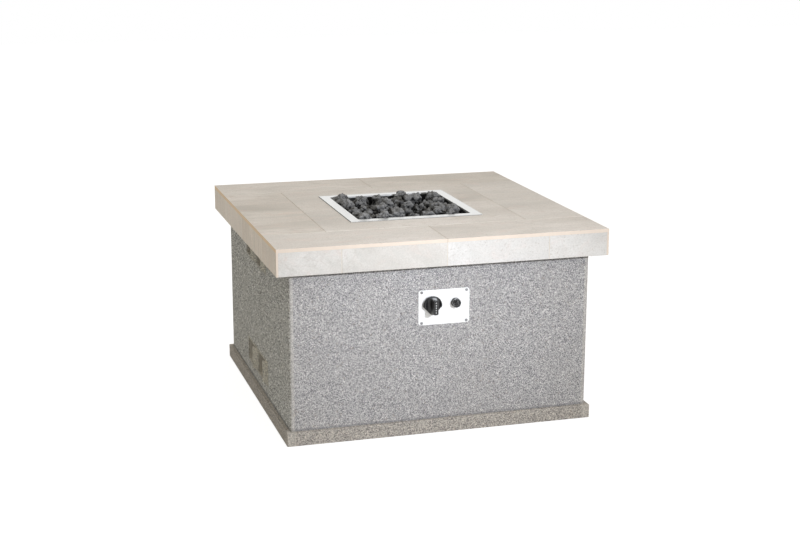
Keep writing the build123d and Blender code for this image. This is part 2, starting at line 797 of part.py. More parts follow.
save("burner_pan", burner_pan())
save("h_burner", h_burner())
save(
    "burner_locknuts",
    locknut((PAN_FLOOR, PAN_FLOOR + LOCKNUT_T)),
    locknut((PAN_UNDER - LOCKNUT_T, PAN_UNDER)),
)

# ---- Gas train: mixer on the nipple, jet, elbow, tube and nuts, valve
MIXER_TOP = PAN_UNDER - NIPPLE_DROP + MIXER_GRIP
ELBOW_TOP = VALVE_Z + ELBOW / 2


def air_mixer():
    body = cylinder(MIXER_R, (ELBOW_TOP, MIXER_TOP))
    body -= cylinder(NIPPLE_R + THREAD_FIT, (MIXER_TOP - MIXER_GRIP, MIXER_TOP))
    body -= cylinder(MIXER_BORE_R, (ELBOW_TOP + MIXER_BASE_T, MIXER_TOP - MIXER_GRIP))
    body -= cylinder(SPUD_R + THREAD_FIT, (ELBOW_TOP, ELBOW_TOP + MIXER_BASE_T))
    slot_low = ELBOW_TOP + MIXER_BASE_T + SPUD_UP
    slot = (-SLOT_W / 2, SLOT_W / 2)
    return body - block((-MIXER_R - 1, MIXER_R + 1), slot, (slot_low, slot_low + SLOT_H))


def gas_orifice():
    low = ELBOW_TOP - SPUD_R
    base = ELBOW_TOP + MIXER_BASE_T
    spud = cylinder(SPUD_R, (low, base)) + hexagon(SPUD_AF, (base, base + SPUD_HEX_T))
    spud += cylinder(SPUD_R * 0.8, (base, base + SPUD_UP - 2))
    spud -= cylinder(GAS_BORE_R, (low, base + SPUD_UP - 4))
    return spud - cylinder(JET_R, (low, base + SPUD_UP))


def mixer_elbow():
    body = Pos(0, 0, VALVE_Z) * plate(ELBOW / 2, ELBOW / 2, (-ELBOW / 2, ELBOW / 2), 2)
    spigot = Pos(0, 0, VALVE_Z) * Rot(90, 0, 0)
    body += spigot * cylinder(BOSS_R, (0, ELBOW / 2 + BOSS_L))
    body -= spigot * cylinder(GAS_BORE_R, (0, ELBOW / 2 + BOSS_L))
    body -= cylinder(CROSS_BORE_R, (VALVE_Z, ELBOW_TOP))
    return body - cylinder(SPUD_R + THREAD_FIT, (ELBOW_TOP - SPUD_R, ELBOW_TOP))


def tube_route():
    """From the valve's outlet straight back, across to the middle, and on to the elbow."""
    start = -WALL + COVER_T + VALVE_D + BOSS_L
    cross = start + TUBE_FIRST_RUN
    end = -ELBOW / 2 - BOSS_L
    corners = [(VALVE_X, start), (VALVE_X, cross), (0, cross + TUBE_CROSS_RUN), (0, end)]
    return [(x, y, VALVE_Z) for x, y in corners]


def flare_nut(boss_end, direction):
    """A nut over the end of a boss and the tube's flare, along Y."""
    nut = hexagon(FLARE_NUT_AF, (-FLARE_NUT_L / 2, FLARE_NUT_L / 2))
    nut -= cylinder(BOSS_R + THREAD_FIT, (-FLARE_NUT_L / 2, 0))
    nut -= cylinder(GAS_TUBE_R + THREAD_FIT, (0, FLARE_NUT_L / 2))
    return Pos(*boss_end) * Rot(-90 * direction, 0, 0) * nut


route = tube_route()
print("gas tube bends", [round(r) for r in bend_radii(route)])
save("air_mixer", air_mixer())
save("gas_orifice", gas_orifice())
save("mixer_elbow", mixer_elbow())
save("gas_tube", swept_rod(route, GAS_TUBE_R, GAS_TUBE_R - GAS_TUBE_WALL))
save("flare_nuts", flare_nut(route[0], 1), flare_nut(route[-1], -1))

# ---- Gas valve, modelled along its stem: local +Z points out of the front wall
at_valve = on_front(VALVE_X, VALVE_Z)
COLLAR_Z = -COVER_T - SEAT_GAP
WASHER_Z = COLLAR_Z - COLLAR_T - SEAT_GAP


def ear_places():
    return [Pos(-EAR_X, 0, 0), Pos(EAR_X, 0, 0)]


def valve_cover():
    cover = plate(COVER_W / 2, COVER_H / 2, (-COVER_T, 0), 3) + cylinder(NECK_R, (0, NECK_OUT))
    cover -= cylinder(STEM_R + RUN_FIT, (-COVER_T, NECK_OUT))
    for ear in ear_places():
        cover -= ear * cylinder(EAR_SCREW_R, (-COVER_T, 0))
    return at_valve * cover


def valve_body():
    back = -COVER_T - VALVE_D
    body = plate(VALVE_W / 2, COVER_H / 2, (back, -COVER_T), 3)
    body += cylinder(BOSS_R, (back - BOSS_L, back))
    body -= cylinder(CAVITY_R, (-COVER_T - CAVITY_D, -COVER_T))
    body -= cylinder(GAS_BORE_R, (back - BOSS_L, -COVER_T))
    body = at_valve * body
    body -= inlet_place() * cylinder(INLET_SHANK_R + THREAD_FIT, (-INLET_SHANK_L, 0))
    return body - inlet_place() * cylinder(CROSS_BORE_R, (-COVER_H / 2, 0))


def inlet_place():
    """On the valve's underside, near its back: local +Z points down."""
    y = -WALL + COVER_T + CAVITY_D + (VALVE_D - CAVITY_D) / 2
    return Pos(VALVE_X, y, VALVE_Z - COVER_H / 2) * Rot(180, 0, 0)


def gas_inlet_fitting():
    end = INLET_HEX_T + INLET_L
    fitting = hexagon(INLET_HEX_AF, (0, INLET_HEX_T)) + cylinder(INLET_R, (INLET_HEX_T, end))
    fitting += Pos(0, 0, end + 2) * Cone(INLET_R, INLET_R - 4, 4)
    fitting += cylinder(INLET_SHANK_R, (-INLET_SHANK_L, 0))
    return inlet_place() * (fitting - cylinder(GAS_BORE_R, (-INLET_SHANK_L, end + 4)))


def valve_stem():
    stem = cylinder(STEM_R, (COLLAR_Z, STEM_L))
    stem -= block((STEM_R - STEM_FLAT, STEM_R), (-STEM_R, STEM_R), (NECK_OUT + KNOB_HOLLOW_D, STEM_L))
    stem += cylinder(CAVITY_R - COLLAR_FIT, (COLLAR_Z - COLLAR_T, COLLAR_Z))
    return at_valve * (stem + cylinder(TAIL_R, (WASHER_Z - TAIL_L, COLLAR_Z - COLLAR_T)))


def thrust_washer():
    z = (WASHER_Z - WASHER_T, WASHER_Z)
    return at_valve * (cylinder(CAVITY_R - COLLAR_FIT, z) - cylinder(TAIL_R + COLLAR_FIT, z))


def valve_spring():
    z = (-COVER_T - CAVITY_D + SEAT_GAP, WASHER_Z - WASHER_T - SEAT_GAP)
    return at_valve * coil(VALVE_SPRING_R, VALVE_SPRING_WIRE, z, VALVE_SPRING_TURNS)


def valve_screw(place):
    """Countersunk, flush with the plate, hidden behind the knob."""
    head = Pos(0, 0, PLATE_T / 2) * Cone(EAR_SCREW_R, EAR_HEAD_R, PLATE_T)
    return at_valve * place * (head + cylinder(EAR_SCREW_R, (-COVER_T, 0)))


save("valve_cover", valve_cover())
save("valve_body", valve_body())
save("gas_inlet_fitting", gas_inlet_fitting())
save("valve_stem", valve_stem())
save("thrust_washer", thrust_washer())
save("valve_spring", valve_spring())
save("valve_screws", *[valve_screw(place) for place in ear_places()])


# ---- Control plate and its screws
def control_plate():
    sheet = plate(PLATE_W / 2, PLATE_H / 2, (0, PLATE_T), PLATE_R)
    sheet = on_front(PLATE_X, PLATE_Z) * sheet
    sheet -= at_valve * cylinder(NECK_R + NECK_FIT, (0, PLATE_T))
    for ear in ear_places():
        sheet -= at_valve * ear * Pos(0, 0, PLATE_T / 2) * Cone(EAR_SCREW_R, EAR_HEAD_R, PLATE_T)
    sheet -= on_front(IGNITER_X, IGNITER_Z) * cylinder(IGNITER_BARREL_R + NECK_FIT, (0, PLATE_T))
    for x, z in plate_screw_places():
        sheet -= on_front(x, z) * cylinder(SCREW_R + SCREW_FIT, (0, PLATE_T))
    return sheet


save("control_plate", control_plate())
heads = [on_front(x, z) * Pos(0, 0, PLATE_T) for x, z in plate_screw_places()]
heads += [on_back(x, z) * Pos(0, 0, FRAME_T) for x, z in frame_screw_places()]
save("panel_screws", *[head * pan_screw(SCREW_L) for head in heads])


# ---- Control knob: a domed skirt with a grip bar, and a row of inlaid dots
def dot_places():
    return [DOT_TOP - index * DOT_PITCH for index in range(DOT_COUNT)]


def knob_outline(inset):
    """Half a circle above, drawn in to a rounded pointer below."""
    reach = KNOB_R - inset
    below = Pos(0, KNOB_SHOULDER - reach) * Rectangle(3 * reach, 2 * reach)
    upper = Circle(reach) - below
    tip = Pos(0, KNOB_TIP_Y) * Circle(KNOB_TIP_R - inset)
    outline = make_hull(upper.edges() + tip.edges())
    shoulders = outline.vertices().sort_by(Axis.X)
    return fillet([shoulders[0], shoulders[-1]], KNOB_SHOULDER_R)


def knob_grip():
    """A bar across the knob whose lower end, the pointer, leans back towards its top face."""
    bar = block((-GRIP_W / 2, GRIP_W / 2), (-GRIP_DOWN, GRIP_UP), (KNOB_RIM, KNOB_DEPTH))
    lean = math.degrees(math.atan2(NOSE_CUT, KNOB_DEPTH - KNOB_RIM))
    waste = block((-GRIP_W, GRIP_W), (-GRIP_DOWN, 0), (-KNOB_DEPTH, 2 * KNOB_DEPTH))
    bar -= Pos(0, -GRIP_DOWN, KNOB_RIM) * Rot(-lean, 0, 0) * waste
    sides = bar.edges().filter_by(lambda edge: abs(edge.tangent_at(0.5).Z) > 0.5)
    bar = fillet(sides, GRIP_W * 0.3)
    return fillet(bar.faces().sort_by(Axis.Z)[-1].edges(), GRIP_ROUND)


def control_knob():
    foot = Pos(0, 0, KNOB_RIM) * knob_outline(KNOB_STEP)
    crown = Pos(0, 0, KNOB_RIM + KNOB_DOME) * knob_outline(KNOB_STEP + KNOB_DOME_IN)
    dome = loft([foot, crown])
    for side in (-1, 1):
        scoop = Pos(side * (GRIP_W / 2 + SCOOP_R), 0, KNOB_RIM + SCOOP_FLOOR + SCOOP_R)
        dome -= scoop * Rot(90, 0, 0) * cylinder(SCOOP_R, (-2 * KNOB_R, 2 * KNOB_R))
    knob = extrude(knob_outline(0), KNOB_RIM) + dome + knob_grip()
    knob -= cylinder(KNOB_HOLLOW_R, (0, KNOB_HOLLOW_D))
    socket_end = PLATE_T + KNOB_GAP
    bore = cylinder(STEM_R, (0, STEM_L - socket_end))
    bore -= block((STEM_R - STEM_FLAT, STEM_R), (-STEM_R, STEM_R), (KNOB_HOLLOW_D, KNOB_DEPTH))
    knob -= bore
    for y in dot_places():
        knob -= Pos(0, y, 0) * cylinder(DOT_R, (KNOB_DEPTH - DOT_T, KNOB_DEPTH))
    return at_valve * Pos(0, 0, socket_end) * knob


def knob_dot(y):
    z = (KNOB_DEPTH - DOT_T, KNOB_DEPTH + DOT_PROUD)
    return at_valve * Pos(0, y, PLATE_T + KNOB_GAP) * cylinder(DOT_R, z)


save("control_knob", control_knob())
save("knob_dots", *[knob_dot(y) for y in dot_places()])

# ---- Igniter, modelled along its barrel: local +Z points out of the front wall
at_igniter = on_front(IGNITER_X, IGNITER_Z)
FLANGE_FRONT = PLATE_T + IGNITER_FLANGE_T
NOSE_END = FLANGE_FRONT + IGNITER_NOSE_L
CAP_BACK = FLANGE_FRONT + SEAT_GAP
CAP_FRONT = CAP_BACK + CAP_L
CAP_CEILING = CAP_FRONT - CAP_FRONT_T
BUTTON_SEAT = CAP_CEILING - SEAT_GAP
BATTERY_FRONT = -IGNITER_BEHIND + IGNITER_END_T + BATTERY_L


def igniter_body():
    body = cylinder(IGNITER_FLANGE_R, (PLATE_T, FLANGE_FRONT))
    body += cylinder(IGNITER_NOSE_R, (FLANGE_FRONT, NOSE_END))
    body += cylinder(IGNITER_BARREL_R, (-IGNITER_BEHIND, PLATE_T))
    body += cylinder(TERMINAL_R, (-IGNITER_BEHIND - TERMINAL_L, -IGNITER_BEHIND))
    return at_igniter * (body - cylinder(IGNITER_BORE_R, (-IGNITER_BEHIND + IGNITER_END_T, NOSE_END)))


def igniter_nut():
    nut = hexagon(NUT_AF, (-NUT_T, 0)) - cylinder(IGNITER_BARREL_R + THREAD_FIT, (-NUT_T, 0))
    return at_igniter * nut


def igniter_battery():
    cell = cylinder(BATTERY_R, (-IGNITER_BEHIND + IGNITER_END_T, BATTERY_FRONT))
    return at_igniter * (cell + cylinder(BATTERY_TIP_R, (BATTERY_FRONT, BATTERY_FRONT + BATTERY_TIP_L)))


def igniter_cap():
    cap = cylinder(CAP_R, (CAP_BACK, CAP_FRONT))
    cap = fillet(cap.edges().sort_by(Axis.Z)[-1], CAP_ROUND)
    for index in range(CAP_LOBES):
        flute = Pos(CAP_R + CAP_FLUTE_R * 0.6, 0, 0) * cylinder(CAP_FLUTE_R, (CAP_BACK, CAP_FRONT))
        cap -= Rot(0, 0, 360 * (index + 0.5) / CAP_LOBES) * flute
    cap -= cylinder(IGNITER_NOSE_R + CAP_FIT, (CAP_BACK, CAP_CEILING))
    return at_igniter * (cap - cylinder(BUTTON_R, (CAP_CEILING, CAP_FRONT)))


def igniter_button():
    button = cylinder(BUTTON_R - RUN_FIT, (BUTTON_SEAT, CAP_FRONT + BUTTON_PROUD))
    button = fillet(button.edges().sort_by(Axis.Z)[-1], BUTTON_ROUND)
    return at_igniter * (button + cylinder(BUTTON_FLANGE_R, (BUTTON_SEAT - BUTTON_FLANGE_T, BUTTON_SEAT)))


def contact_spring():
    z = (BATTERY_FRONT + BATTERY_TIP_L + SEAT_GAP, BUTTON_SEAT - BUTTON_FLANGE_T - SEAT_GAP)
    return at_igniter * coil(CONTACT_SPRING_R, CONTACT_SPRING_WIRE, z, CONTACT_SPRING_TURNS)


save("igniter_body", igniter_body())
save("igniter_nut", igniter_nut())
save("igniter_battery", igniter_battery())
save("igniter_cap", igniter_cap())
save("igniter_button", igniter_button())
save("contact_spring", contact_spring())


# ---- Spark electrode in the pan, and the lead to it from the igniter
ROD_FOOT = (ROD_X, ROD_Y, PAN_UNDER - ROD_DOWN)
ROD_BEND = (ROD_X, ROD_Y, PAN_FLOOR + ROD_BEND_UP)
ROD_END = (*ROD_TIP, FLANGE_TOP - ROD_TIP_BELOW_FLANGE)


def electrode_insulator():
    sleeve = cylinder(INSULATOR_R, (PAN_UNDER - INSULATOR_DOWN, PAN_FLOOR + INSULATOR_UP))
    sleeve += cylinder(INSULATOR_COLLAR_R, (PAN_FLOOR, PAN_FLOOR + INSULATOR_COLLAR_T))
    bore = cylinder(ROD_R + ROD_FIT, (PAN_UNDER - INSULATOR_DOWN, PAN_FLOOR + INSULATOR_UP))
    return Pos(ROD_X, ROD_Y, 0) * (sleeve - bore)


def lead_route():
    """From the igniter's terminal, over onto the gas tube, along it, then up to the electrode."""
    start = -WALL + IGNITER_BEHIND + TERMINAL_L
    on_tube = VALVE_Z + GAS_TUBE_R + LEAD_R + TIE_GAP
    tied, loose = [tube_route()[0][1] + along for along in LEAD_ON_TUBE]
    points = [(IGNITER_X, start, IGNITER_Z), (IGNITER_X, start + LEAD_OUT, IGNITER_Z)]
    points += [(IGNITER_X + x, start + LEAD_OUT + y, on_tube + z) for x, y, z in LEAD_CROSSING]
    points += [(VALVE_X, tied, on_tube), (VALVE_X, loose, on_tube)]
    points += [(VALVE_X + x, loose + y, on_tube + z) for x, y, z in LEAD_LEAVING]
    points += [(ROD_X, ROD_Y + y, ROD_FOOT[2] + z) for y, z in LEAD_LOOP]
    return [*points, ROD_FOOT]


def lead_tie():
    """A cable tie round the gas tube and the lead lying on it, midway along their contact."""
    rise = GAS_TUBE_R + LEAD_R + TIE_GAP
    outlines = []
    for extra in (TIE_GAP, TIE_GAP + TIE_T):
        circles = Sketch() + Circle(GAS_TUBE_R + extra) + Pos(0, rise) * Circle(LEAD_R + extra)
        outlines.append(make_hull(circles.edges()))
    band = extrude(outlines[1] - outlines[0], TIE_W / 2, both=True)
    y = tube_route()[0][1] + sum(LEAD_ON_TUBE) / 2
    return Pos(VALVE_X, y, VALVE_Z) * Rot(90, 0, 0) * band


lead_points = lead_route()
print("lead bends", [round(r) for r in bend_radii(lead_points)])
save("electrode_rod", swept_rod([ROD_FOOT, ROD_BEND, ROD_END], ROD_R, radii=[ROD_BEND_R]))
save("electrode_insulator", electrode_insulator())
save("ignition_lead", swept_rod(lead_points, LEAD_R))
save("lead_tie", lead_tie())


# ---- Lava rock: angular lumps, each dropped until it meets the pan, the burner or another rock
def spaced(start, end, radius):
    """Spheres in a row from one point to another, close enough to act as a rod."""
    steps = math.ceil(math.dist(start, end) / SPHERE_STEP)
    shares = [index / steps for index in range(steps + 1)]
    return [(*[a + t * (b - a) for a, b in zip(start, end)], radius) for t in shares]


def ringed(ring_r, z, radius):
    """Spheres in a ring about the Z axis."""
    count = max(1, math.ceil(2 * math.pi * ring_r / SPHERE_STEP))
    angles = [2 * math.pi * index / count for index in range(count)]
    return [(ring_r * math.cos(a), ring_r * math.sin(a), z, radius) for a in angles]


def obstacles():
    """Spheres that stand for the burner, its nut and the electrode, as (x, y, z, radius)."""
    reach = ARM_L / 2 - ARM_R
    found = spaced((-ARM_X, 0, BURNER_Z), (ARM_X, 0, BURNER_Z), BAR_R)
    for x in (-ARM_X, ARM_X):
        found += spaced((x, -reach, BURNER_Z), (x, reach, BURNER_Z), ARM_R)
    top_ring_z = BURNER_Z + HUB_H / 2 - HUB_ROUND
    for z in np.arange(PAN_FLOOR + HUB_ROUND, top_ring_z, SPHERE_STEP):
        found += ringed(HUB_R - HUB_ROUND, z, HUB_ROUND)
    for ring_r in np.arange(0, HUB_R - HUB_ROUND + 1, SPHERE_STEP):
        found += ringed(ring_r, top_ring_z, HUB_ROUND)
    sleeve_top = (ROD_X, ROD_Y, PAN_FLOOR + INSULATOR_UP - INSULATOR_R)
    found += spaced((ROD_X, ROD_Y, PAN_FLOOR), sleeve_top, INSULATOR_R)
    return found + spaced(sleeve_top, ROD_BEND, ROD_R) + spaced(ROD_BEND, ROD_END, ROD_R)


def resting_heights(places, radius, solids):
    """Where balls dropped at each place stop, and which solid stops each: -1 is the pan floor."""
    away = places[:, None, :] - solids[None, :, :2]
    totals = radius + solids[:, 3] + ROCK_GAP
    squares = totals**2 - (away**2).sum(axis=2)
    stops = np.where(squares > 0, solids[:, 2] + np.sqrt(np.maximum(squares, 0)), 0)
    nearest = stops.argmax(axis=1)
    heights = stops.max(axis=1)
    floor = PAN_FLOOR + radius + ROCK_GAP
    return np.maximum(heights, floor), np.where(heights > floor, nearest, -1)


def drop_rock(radius, solids, dice):
    """The lowest seat found for one more ball, or None if every seat stands too proud."""
    limit = PAN_OPENING / 2 - radius - ROCK_GAP
    places = dice.uniform(-limit, limit, (ROCK_TRIES, 2))
    heights, stops = resting_heights(places, radius, solids)
    edge = np.abs(places).max(axis=1) / limit
    proud = ROCK_PROUD_MID + (ROCK_PROUD_EDGE - ROCK_PROUD_MID) * edge
    heights = np.where(heights + radius < FLANGE_TOP + proud, heights, np.inf)
    best = heights.argmin()
    if not np.isfinite(heights[best]):
        return None
    return np.array([*places[best], heights[best], radius]), stops[best]


def rock_bed():
    """Every rock's centre and radius, and the directions in which it touches its neighbours."""
    dice = np.random.default_rng(ROCK_SEED)
    solids = np.array(obstacles())
    first = len(solids)
    contacts = []
    misses = 0
    while misses < ROCK_MISSES:
        seat = drop_rock(dice.uniform(*ROCK_R), solids, dice)
        if seat is None:
            misses += 1
            continue
        ball, stop = seat
        down = solids[stop, :3] - ball[:3] if stop >= 0 else np.array([0.0, 0.0, -1.0])
        down /= np.linalg.norm(down)
        if stop >= first:
            contacts[stop - first].append(-down)
        contacts.append([down])
        solids = np.vstack([solids, ball])
    return list(zip(solids[first:], contacts))


def rock(ball, contacts, dice):
    """A many-sided lump inside its ball, with a corner at each place that it touches."""
    centre, radius = ball[:3], ball[3]
    corners = [centre + radius * direction for direction in contacts]
    for index in range(ROCK_POINTS):
        level = 1 - 2 * (index + 0.5) / ROCK_POINTS
        flat = math.sqrt(1 - level * level)
        angle = index * 2.4 + dice.uniform(-0.3, 0.3)
        direction = np.array([flat * math.cos(angle), flat * math.sin(angle), level])
        corners.append(centre + radius * dice.uniform(0.9, 1.0) * direction)
    return ConvexPolyhedron([tuple(corner.tolist()) for corner in corners])


shape_dice = random.Random(ROCK_SEED + 1)
rocks = [rock(ball, contacts, shape_dice) for ball, contacts in rock_bed()]
print("rocks", len(rocks))
save("lava_rocks", *rocks)
print("nodes", len(os.listdir("parts")))
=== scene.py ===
import math

import json

import bpy
from mathutils import Matrix, Vector


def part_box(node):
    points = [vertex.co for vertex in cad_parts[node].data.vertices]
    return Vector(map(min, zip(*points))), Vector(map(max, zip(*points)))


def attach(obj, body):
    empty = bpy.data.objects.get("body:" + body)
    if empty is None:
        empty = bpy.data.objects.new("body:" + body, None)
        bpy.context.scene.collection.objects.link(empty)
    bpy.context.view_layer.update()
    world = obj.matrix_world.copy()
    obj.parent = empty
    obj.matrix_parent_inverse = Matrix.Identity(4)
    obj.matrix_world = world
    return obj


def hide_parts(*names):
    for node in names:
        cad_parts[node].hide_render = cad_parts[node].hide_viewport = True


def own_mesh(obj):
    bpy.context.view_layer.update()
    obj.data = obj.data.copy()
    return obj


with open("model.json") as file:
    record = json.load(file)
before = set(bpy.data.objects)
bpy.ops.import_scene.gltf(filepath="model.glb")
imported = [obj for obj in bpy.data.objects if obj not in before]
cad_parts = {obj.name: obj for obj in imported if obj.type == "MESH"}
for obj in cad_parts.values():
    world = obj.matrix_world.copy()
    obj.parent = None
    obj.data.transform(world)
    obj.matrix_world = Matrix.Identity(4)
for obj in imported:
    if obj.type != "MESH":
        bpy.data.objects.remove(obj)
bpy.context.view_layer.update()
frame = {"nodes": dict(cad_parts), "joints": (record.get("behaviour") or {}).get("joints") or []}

# ---- Camera
# A long lens from the front left, a little above the top. YAW turns it round, PITCH tips it down
# and ROLL leans it a touch.
EYE = (-1.29198, -4.38515, 1.50170)
YAW, PITCH, ROLL = (math.radians(angle) for angle in (-16.484, 14.025, 0.130))
LENS_MM = 67.857
SENSOR_MM = 36
SIGHT_END = 60

level = Vector((math.cos(YAW), math.sin(YAW), 0))
north, east = math.cos(YAW) * math.cos(PITCH), -math.sin(YAW) * math.cos(PITCH)
ahead = Vector((east, north, -math.sin(PITCH)))
upright = level.cross(ahead)
across = level * math.cos(ROLL) + upright * math.sin(ROLL)
upward = upright * math.cos(ROLL) - level * math.sin(ROLL)
camera = bpy.data.objects.new("camera", bpy.data.cameras.new("camera"))
camera.data.lens = LENS_MM
camera.data.sensor_width = SENSOR_MM
camera.data.clip_end = SIGHT_END
turn = Matrix((across, upward, -ahead)).transposed().to_4x4()
camera.matrix_world = Matrix.Translation(EYE) @ turn
bpy.context.scene.collection.objects.link(camera)
bpy.context.scene.camera = camera
bpy.context.scene.view_settings.view_transform = "Standard"


# ---- Floor and studio light
# A white sweep of paper under soft light: most of it falls from the front right, cool and level,
# and the room fills the left side and the top with a slightly warm light.
class Number:
    """A socket that takes part in arithmetic: each operator adds a Math node."""

    def __init__(self, sheet, socket):
        self.sheet = sheet
        self.socket = socket

    def maths(self, operation, first, second=0.0):
        settings = {"operation": operation}
        return self.sheet.node("ShaderNodeMath", settings, {0: first, 1: second})

    def __add__(self, other):
        return self.maths("ADD", self, other)

    __radd__ = __add__

    def __sub__(self, other):
        return self.maths("SUBTRACT", self, other)

    def __rsub__(self, other):
        return self.maths("SUBTRACT", other, self)

    def __mul__(self, other):
        return self.maths("MULTIPLY", self, other)

    __rmul__ = __mul__

    def __gt__(self, other):
        return self.maths("GREATER_THAN", self, other)

    def __lt__(self, other):
        return self.maths("LESS_THAN", self, other)

    def __abs__(self):
        return self.maths("ABSOLUTE", self)

    def __floordiv__(self, step):
        return self.maths("FLOOR", self.maths("DIVIDE", self, step))

    def __mod__(self, step):
        return self.maths("MODULO", self, step)

    def larger(self, other):
        return self.maths("MAXIMUM", self, other)

    def smaller(self, other):
        return self.maths("MINIMUM", self, other)


class Sheet:
    """A node tree that nodes are added to."""

    def __init__(self, tree):
        self.tree = tree

    def node(self, kind, settings, sockets, out=0):
        """One node: its settings first, then the values or links of its sockets."""
        made = self.tree.nodes.new(kind)
        for name, value in settings.items():
            if name == "stops":
                ramp = made.color_ramp
                while len(ramp.elements) < len(value):
                    ramp.elements.new(1.0)
                for element, (place, colour) in zip(ramp.elements, value):
                    element.position = place
                    element.color = colour
            else:
                setattr(made, name, value)
        for name, value in sockets.items():
            if isinstance(value, Number):
                self.tree.links.new(value.socket, made.inputs[name])
            else:
                made.inputs[name].default_value = value
        return Number(self, made.outputs[out]) if made.outputs else None

    def vector(self, operation, first, second):
        settings = {"operation": operation}
        return self.node("ShaderNodeVectorMath", settings, {0: first, 1: second})

    def split(self, vector):
        """The three coordinates of a vector."""
        parts = self.node("ShaderNodeSeparateXYZ", {}, {0: vector}).socket.node
        return [Number(self, socket) for socket in parts.outputs]


class Finish(Sheet):
    """A material, its patterns sized in metres on the piece's own place."""

    NOISE_LOW = 0.3
    NOISE_HIGH = 0.7

    def __init__(self, name):
        self.material = bpy.data.materials.new(name)
        self.material.use_nodes = True
        self.material.node_tree.nodes.clear()
        super().__init__(self.material.node_tree)
        self.place = self.node("ShaderNodeTexCoord", {}, {}, "Object")

    def axes(self):
        """The three coordinates of the place, in metres."""
        return self.split(self.place)

    def stretched(self, scale, turned=(0, 0, 0)):
        """The place, turned and then shrunk along each axis by a scale."""
        sockets = {"Vector": self.place, "Rotation": turned, "Scale": scale}
        return self.node("ShaderNodeMapping", {"vector_type": "POINT"}, sockets)

    def noise(self, size, detail=2.0, rough=0.5, place=None, warp=0.0, fourth=None):
        """Smooth noise from 0 to 1 with lumps of about this size."""
        sockets = {"Vector": place or self.place, "Scale": 1 / size, "Detail": detail}
        sockets.update({"Roughness": rough, "Distortion": warp})
        settings = {}
        if fourth is not None:
            settings["noise_dimensions"] = "4D"
            sockets["W"] = fourth
        return self.node("ShaderNodeTexNoise", settings, sockets, "Fac")

    def cells(self, size, out="Distance", place=None, feature="F1"):
        """Voronoi cells of about this size."""
        sockets = {"Vector": place or self.place, "Scale": 1 / size}
        return self.node("ShaderNodeTexVoronoi", {"feature": feature}, sockets, out)

    def cell_shade(self, size, place=None):
        """One random number from 0 to 1 for each Voronoi cell."""
        colour = self.cells(size, "Color", place)
        return self.node("ShaderNodeSeparateColor", {}, {0: colour})

    def graded(self, amount, *stops):
        """A colour ramp over a number."""
        return self.node("ShaderNodeValToRGB", {"stops": stops}, {"Fac": amount})

    def faded(self, amount, low, high, start=0.0, end=1.0):
        """A number taken from one range to another, and kept inside it."""
        sockets = {"Value": amount, 1: low, 2: high, 3: start, 4: end}
        return self.node("ShaderNodeMapRange", {}, sockets)

    def spread(self, noise, start=0.0, end=1.0):
        """A noise taken from the range that it mostly keeps to, to another."""
        return self.faded(noise, self.NOISE_LOW, self.NOISE_HIGH, start, end)

    def mixed(self, share, first, second, how="MIX"):
        """Two colours blended by a share from 0 to 1."""
        settings = {"data_type": "RGBA", "blend_type": how}
        return self.node("ShaderNodeMix", settings, {0: share, 6: first, 7: second}, 2)

    def bumps(self, height, depth, under=None):
        """Relief of this depth in metres, on top of any relief already there."""
        sockets = {"Height": height, "Distance": depth, "Strength": 1.0}
        if under is not None:
            sockets["Normal"] = under
        return self.node("ShaderNodeBump", {}, sockets)

    def done(self, colour, roughness, relief=None, metallic=0.0, gloss=0.5):
        """Ends the sheet with its shader, and returns the material."""
        sockets = {"Base Color": colour, "Roughness": roughness, "Metallic": metallic}
        sockets["Specular IOR Level"] = gloss
        if relief is not None:
            sockets["Normal"] = relief
        shader = self.node("ShaderNodeBsdfPrincipled", {}, sockets)
        self.node("ShaderNodeOutputMaterial", {}, {"Surface": shader})
        return self.material


FLOOR_HALF = 12.0
FOOT_HALF = 0.45
FLOOR_BOUNCE = (0.5, 0.5, 0.5, 1.0)  # the paper as it throws light back on the object
SEEN_FLOOR = (0.42, 0.42, 0.42, 1.0)  # the paper as it is seen, under its glow
SEEN_GLOW = 0.84
WHITE = (1.0, 1.0, 1.0, 1.0)
SKY_HIGH = (0.612, 0.590, 0.546, 1.0)
SKY_LOW = (0.665, 0.645, 0.585, 1.0)
KEY_PLACE = Vector((0.62, -2.25, 1.14))
KEY_AIM = Vector((-0.14, -0.45, 0.56))
KEY_SIZE = 0.14
KEY_SPREAD = math.radians(70)
KEY_WATTS = 5.6
KEY_TINT = (0.88, 0.92, 1.0)


def seen_directly(sheet):
    """1 for rays that show the surroundings themselves, and 0 for rays that light things."""
    paths = sheet.node("ShaderNodeLightPath", {}, {}).socket.node.outputs
    camera_ray, glossy, transmitted = [
        Number(sheet, paths[name])
        for name in ("Is Camera Ray", "Is Glossy Ray", "Is Transmission Ray")
    ]
    return camera_ray.larger(glossy).larger(transmitted)


# Rays that show the paper see it glow up to white all round the object's foot, and the glow
# lights nothing.
paper = Finish("paper_sweep")
lit = paper.node("ShaderNodeBsdfDiffuse", {}, {"Color": FLOOR_BOUNCE})
shaded = paper.node("ShaderNodeBsdfDiffuse", {}, {"Color": SEEN_FLOOR})
glow = paper.node("ShaderNodeEmission", {}, {"Color": WHITE, "Strength": SEEN_GLOW})
glowing = paper.node("ShaderNodeAddShader", {}, {0: shaded, 1: glow})
x, y, _ = paper.axes()
open_floor = abs(x).larger(abs(y)) > FOOT_HALF
shown = paper.node("ShaderNodeMixShader", {}, {0: open_floor, 1: shaded, 2: glowing})
either = paper.node("ShaderNodeMixShader", {}, {0: seen_directly(paper), 1: lit, 2: shown})
paper.node("ShaderNodeOutputMaterial", {}, {"Surface": either})

